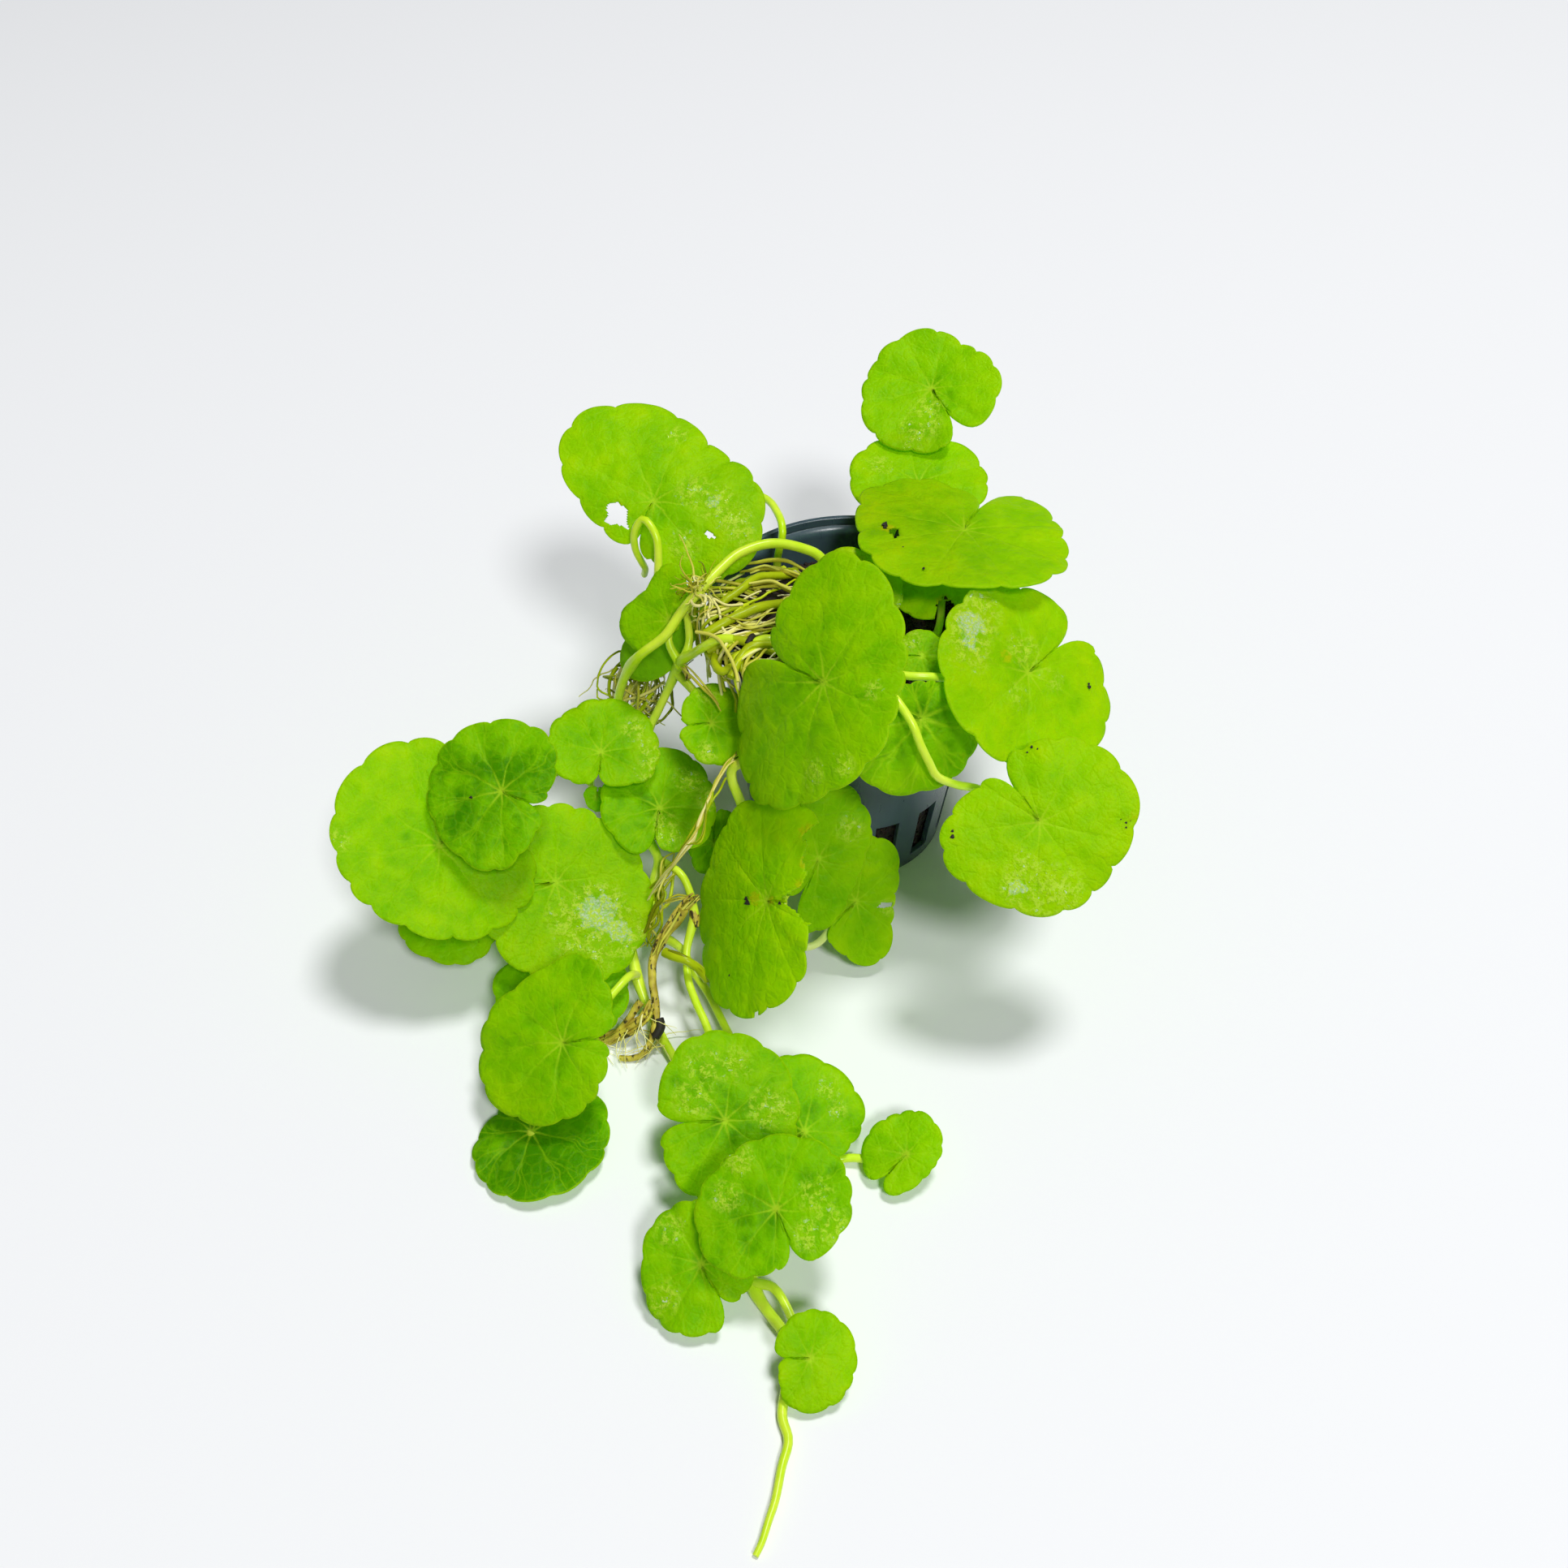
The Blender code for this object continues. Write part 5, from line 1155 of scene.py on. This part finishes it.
def slottedCupTree():
    # A flat sheet loses its slots, is wrapped to a flared cup with a lip, and gets a wall and a floor
    tree, add, given = newTree("slottedCupTree", (
        "Height", "Base radius", "Rim radius", "Wall", "Floor", "Lip width", "Lip height", "Slot share",
        "Slot bottom", "Slot top"), ("Slots", "Columns", "Rows"))
    across, up = add("SeparateXYZ", add("InputPosition")).node.outputs[:2]
    u = add("ADD", across, 0.5)
    v = add("ADD", up, 0.5)
    z = add("MULTIPLY", v, given["Height"])
    period = add("FRACT", add("MULTIPLY", u, given["Slots"]))
    above = add("GREATER_THAN", z, given["Slot bottom"])
    cut = add("MULTIPLY", add("LESS_THAN", period, given["Slot share"]), above)
    cut = add("Compare", add("MULTIPLY", cut, add("LESS_THAN", z, given["Slot top"])), 0.5)
    slotted = add("DeleteGeometry FACE", add("MeshGrid", 1.0, 1.0, given["Columns"], given["Rows"]), cut)
    turn = add("MULTIPLY", u, 2 * math.pi)
    flare = add("SUBTRACT", given["Rim radius"], given["Base radius"])
    radius = add("MULTIPLY_ADD", flare, v, given["Base radius"])
    inLip = add("GREATER_THAN", z, add("SUBTRACT", given["Height"], given["Lip height"]))
    radius = add("MULTIPLY_ADD", inLip, given["Lip width"], radius)
    y = add("MULTIPLY", add("SINE", turn), radius)
    wrapped = add("CombineXYZ", add("MULTIPLY", add("COSINE", turn), radius), y, z)
    outer = add("MergeByDistance", add("SetPosition", slotted, Position=wrapped), Distance=0.001 * mm)
    turned = add("FlipFaces", outer)
    inner = add("ExtrudeMesh", turned, Individual=False, **{"Offset Scale": given["Wall"]})
    closed = add("MergeByDistance", add("JoinGeometry", [inner, outer]), Distance=0.004 * mm)
    disc = add("MeshCylinder", pot["floorSides"], Radius=given["Base radius"], Depth=given["Floor"])
    rise = add("CombineXYZ", Z=add("MULTIPLY", given["Floor"], 0.5))
    whole = add("JoinGeometry", [closed, add("Transform", disc, rise, Scale=(0.985, 0.985, 1.0))])
    endTree(add, whole, given["Material"])
    return tree


def makePot():
    start = newObject("potStart", bpy.data.meshes.new("potStart"))
    lengths = {"Height": "height", "Base radius": "baseRadius", "Rim radius": "rimRadius", "Wall": "wall",
               "Floor": "floor", "Lip width": "lipWidth", "Lip height": "lipHeight",
               "Slot bottom": "slotBottom", "Slot top": "slotTop"}
    made = runTree(start, slottedCupTree(), {label: pot[key] * mm for label, key in lengths.items()} | {
        "Slots": pot["slots"], "Slot share": pot["slotShare"], "Rows": pot["rows"] + 1,
        "Columns": pot["slots"] * pot["stepsPerSlot"] + 1, "Material": materials["plastic"],
    })
    soften = made.modifiers.new("edgeRound", "BEVEL")
    soften.width = pot["edgeRound"] * mm
    soften.segments = 2
    soften.limit_method = "ANGLE"
    soften.angle_limit = math.radians(pot["edgeAngle"])
    for face in made.data.polygons:
        face.use_smooth = True
    made.data.set_sharp_from_angle(angle=math.radians(pot["edgeAngle"]))
    keepPiece([made], "net_pot")


# The growing medium. topShares are the rings of its uneven top, from the wall to the middle.
soil = {
    "top": 50.0, "topDip": 0.4, "low": 1.9, "inset": 1.7, "rise": 0.7, "sides": 96, "rows": 20,
    "rowStep": 2.4, "topShares": (1.0, 0.92, 0.8, 0.66, 0.52, 0.38, 0.24, 0.12, 0.0),
    "grains": 5200, "grainSize": 0.55, "seed": 4,
}


def grainTree():
    # Scatters crumbs over a surface, each turned and scaled by chance
    tree, add, given = newTree("grainTree", ("Count per square metre", "Crumb size"), ("Seed",))
    points = add("DistributePointsOnFaces", given["Geometry"], Density=given["Count per square metre"],
                 Seed=given["Seed"])
    crumb = add("MeshIcoSphere", given["Crumb size"], 1)
    turn = add("RandomValue FLOAT_VECTOR", (0.0, 0.0, 0.0), (6.28, 6.28, 6.28), Seed=given["Seed"])
    scale = add("RandomValue FLOAT_VECTOR", (0.4, 0.4, 0.3), (1.9, 1.2, 1.0), Seed=given["Seed"])
    placed = add("InstanceOnPoints", points, Instance=crumb, Rotation=turn, Scale=scale)
    whole = add("JoinGeometry", [add("RealizeInstances", placed), given["Geometry"]])
    endTree(add, whole, given["Material"])
    return tree


def makeSoil():
    # A plug a little inside the pot's wall, with an uneven top
    bm = bmesh.new()
    rings = []
    sides = soil["sides"]
    slope = (pot["rimRadius"] - pot["baseRadius"]) / pot["height"]
    rows = [(soil["low"], 0.0)] + [(soil["low"] + k * soil["rowStep"], 1.0) for k in range(soil["rows"])]
    rows += [(soil["top"] - soil["topDip"], share) for share in soil["topShares"]]
    for height, share in rows:
        if share == 0.0:
            rings.append([bm.verts.new((0, 0, height * mm))])
            continue
        radius = (pot["baseRadius"] + slope * height - soil["inset"]) * share
        ring = []
        for k in range(sides):
            angle = 2 * math.pi * k / sides
            lump = 0.5 * math.sin(5 * angle + 9 * share) * math.sin(7 * share + 2 * angle)
            rise = soil["rise"] * lump if share < 0.95 else 0.0
            ring.append(bm.verts.new((radius * math.cos(angle) * mm, radius * math.sin(angle) * mm,
                                      (height + rise) * mm)))
        rings.append(ring)
    for ring, following in zip(rings, rings[1:]):
        for k in range(sides):
            nearby = (k + 1) % sides
            if len(ring) == 1:
                bm.faces.new((ring[0], following[nearby], following[k]))
            elif len(following) == 1:
                bm.faces.new((ring[k], ring[nearby], following[0]))
            else:
                bm.faces.new((ring[k], ring[nearby], following[nearby], following[k]))
    mesh = bpy.data.meshes.new("soilStart")
    bm.to_mesh(mesh)
    bm.free()
    area = sum(face.area for face in mesh.polygons)
    made = runTree(newObject("soilStart", mesh), grainTree(), {
        "Count per square metre": soil["grains"] / area, "Crumb size": soil["grainSize"] * mm,
        "Seed": soil["seed"], "Material": materials["peat"],
    })
    keepPiece([made], "growing_medium")


makePot()
makeSoil()
print("pot and growing medium made")


# Stage, light and camera

stage = {
    "floorSize": 4000, "floorColour": "#f4f5f7",
    "keyPlace": (495, 330, 2400), "keySize": 560, "keyPower": 33.0,
    "fillPlace": (675, -1770, 2295), "fillSize": 560, "fillPower": 40.6,
    "skyColour": "#f3f6fa", "skyStrength": 0.155, "aim": (-10, -30, 30),
}
camera = {"place": (-13.7, -234.3, 246.1), "pitch": 45.5, "lens": 35.4, "sensor": 36.0}


def sweptPaper():
    # Matte white paper under soft light: nearly even, with a faint tooth
    material, add, shader = newMaterial("sweptPaper")
    bump = add("Bump", 0.1, 0.0001, Height=add("TexNoise", add("TexCoord", out=3), 1 / (1.2 * mm), 2.0))
    fill(shader, {"Normal": bump, "Base Color": stage["floorColour"], "Roughness": 0.9})
    return material


def addLamp(name, place, size, power):
    # A large round soft lamp that faces the plant
    lamp = bpy.data.lights.new(name, "AREA")
    lamp.shape = "DISK"
    lamp.size = size * mm
    lamp.energy = power
    made = newObject(name, lamp)
    made.location = Vector(place) * mm
    aim = Vector(stage["aim"]) * mm - made.location
    made.rotation_euler = aim.to_track_quat("-Z", "Y").to_euler()


def makeStage():
    half = stage["floorSize"] / 2 * mm
    mesh = bpy.data.meshes.new("floor")
    corners = [(-half, -half, 0), (half, -half, 0), (half, half, 0), (-half, half, 0)]
    mesh.from_pydata(corners, [], [(0, 1, 2, 3)])
    mesh.materials.append(sweptPaper())
    newObject("floor", mesh)
    addLamp("softKey", stage["keyPlace"], stage["keySize"], stage["keyPower"])
    addLamp("softFill", stage["fillPlace"], stage["fillSize"], stage["fillPower"])
    world = bpy.data.worlds.new("studio")
    world.use_nodes = True
    sky = {"Color": stage["skyColour"], "Strength": stage["skyStrength"]}
    fill(world.node_tree.nodes["Background"], sky)
    bpy.context.scene.world = world
    bpy.context.scene.view_settings.view_transform = "Standard"


def makeCamera():
    lens = bpy.data.cameras.new("camera")
    lens.lens = camera["lens"]
    lens.sensor_width = camera["sensor"]
    lens.clip_start = 0.01
    made = newObject("camera", lens)
    made.location = Vector(camera["place"]) * mm
    made.rotation_euler = (math.radians(90 - camera["pitch"]), 0, 0)
    bpy.context.scene.camera = made


makeStage()
makeCamera()
print("stage and camera made")
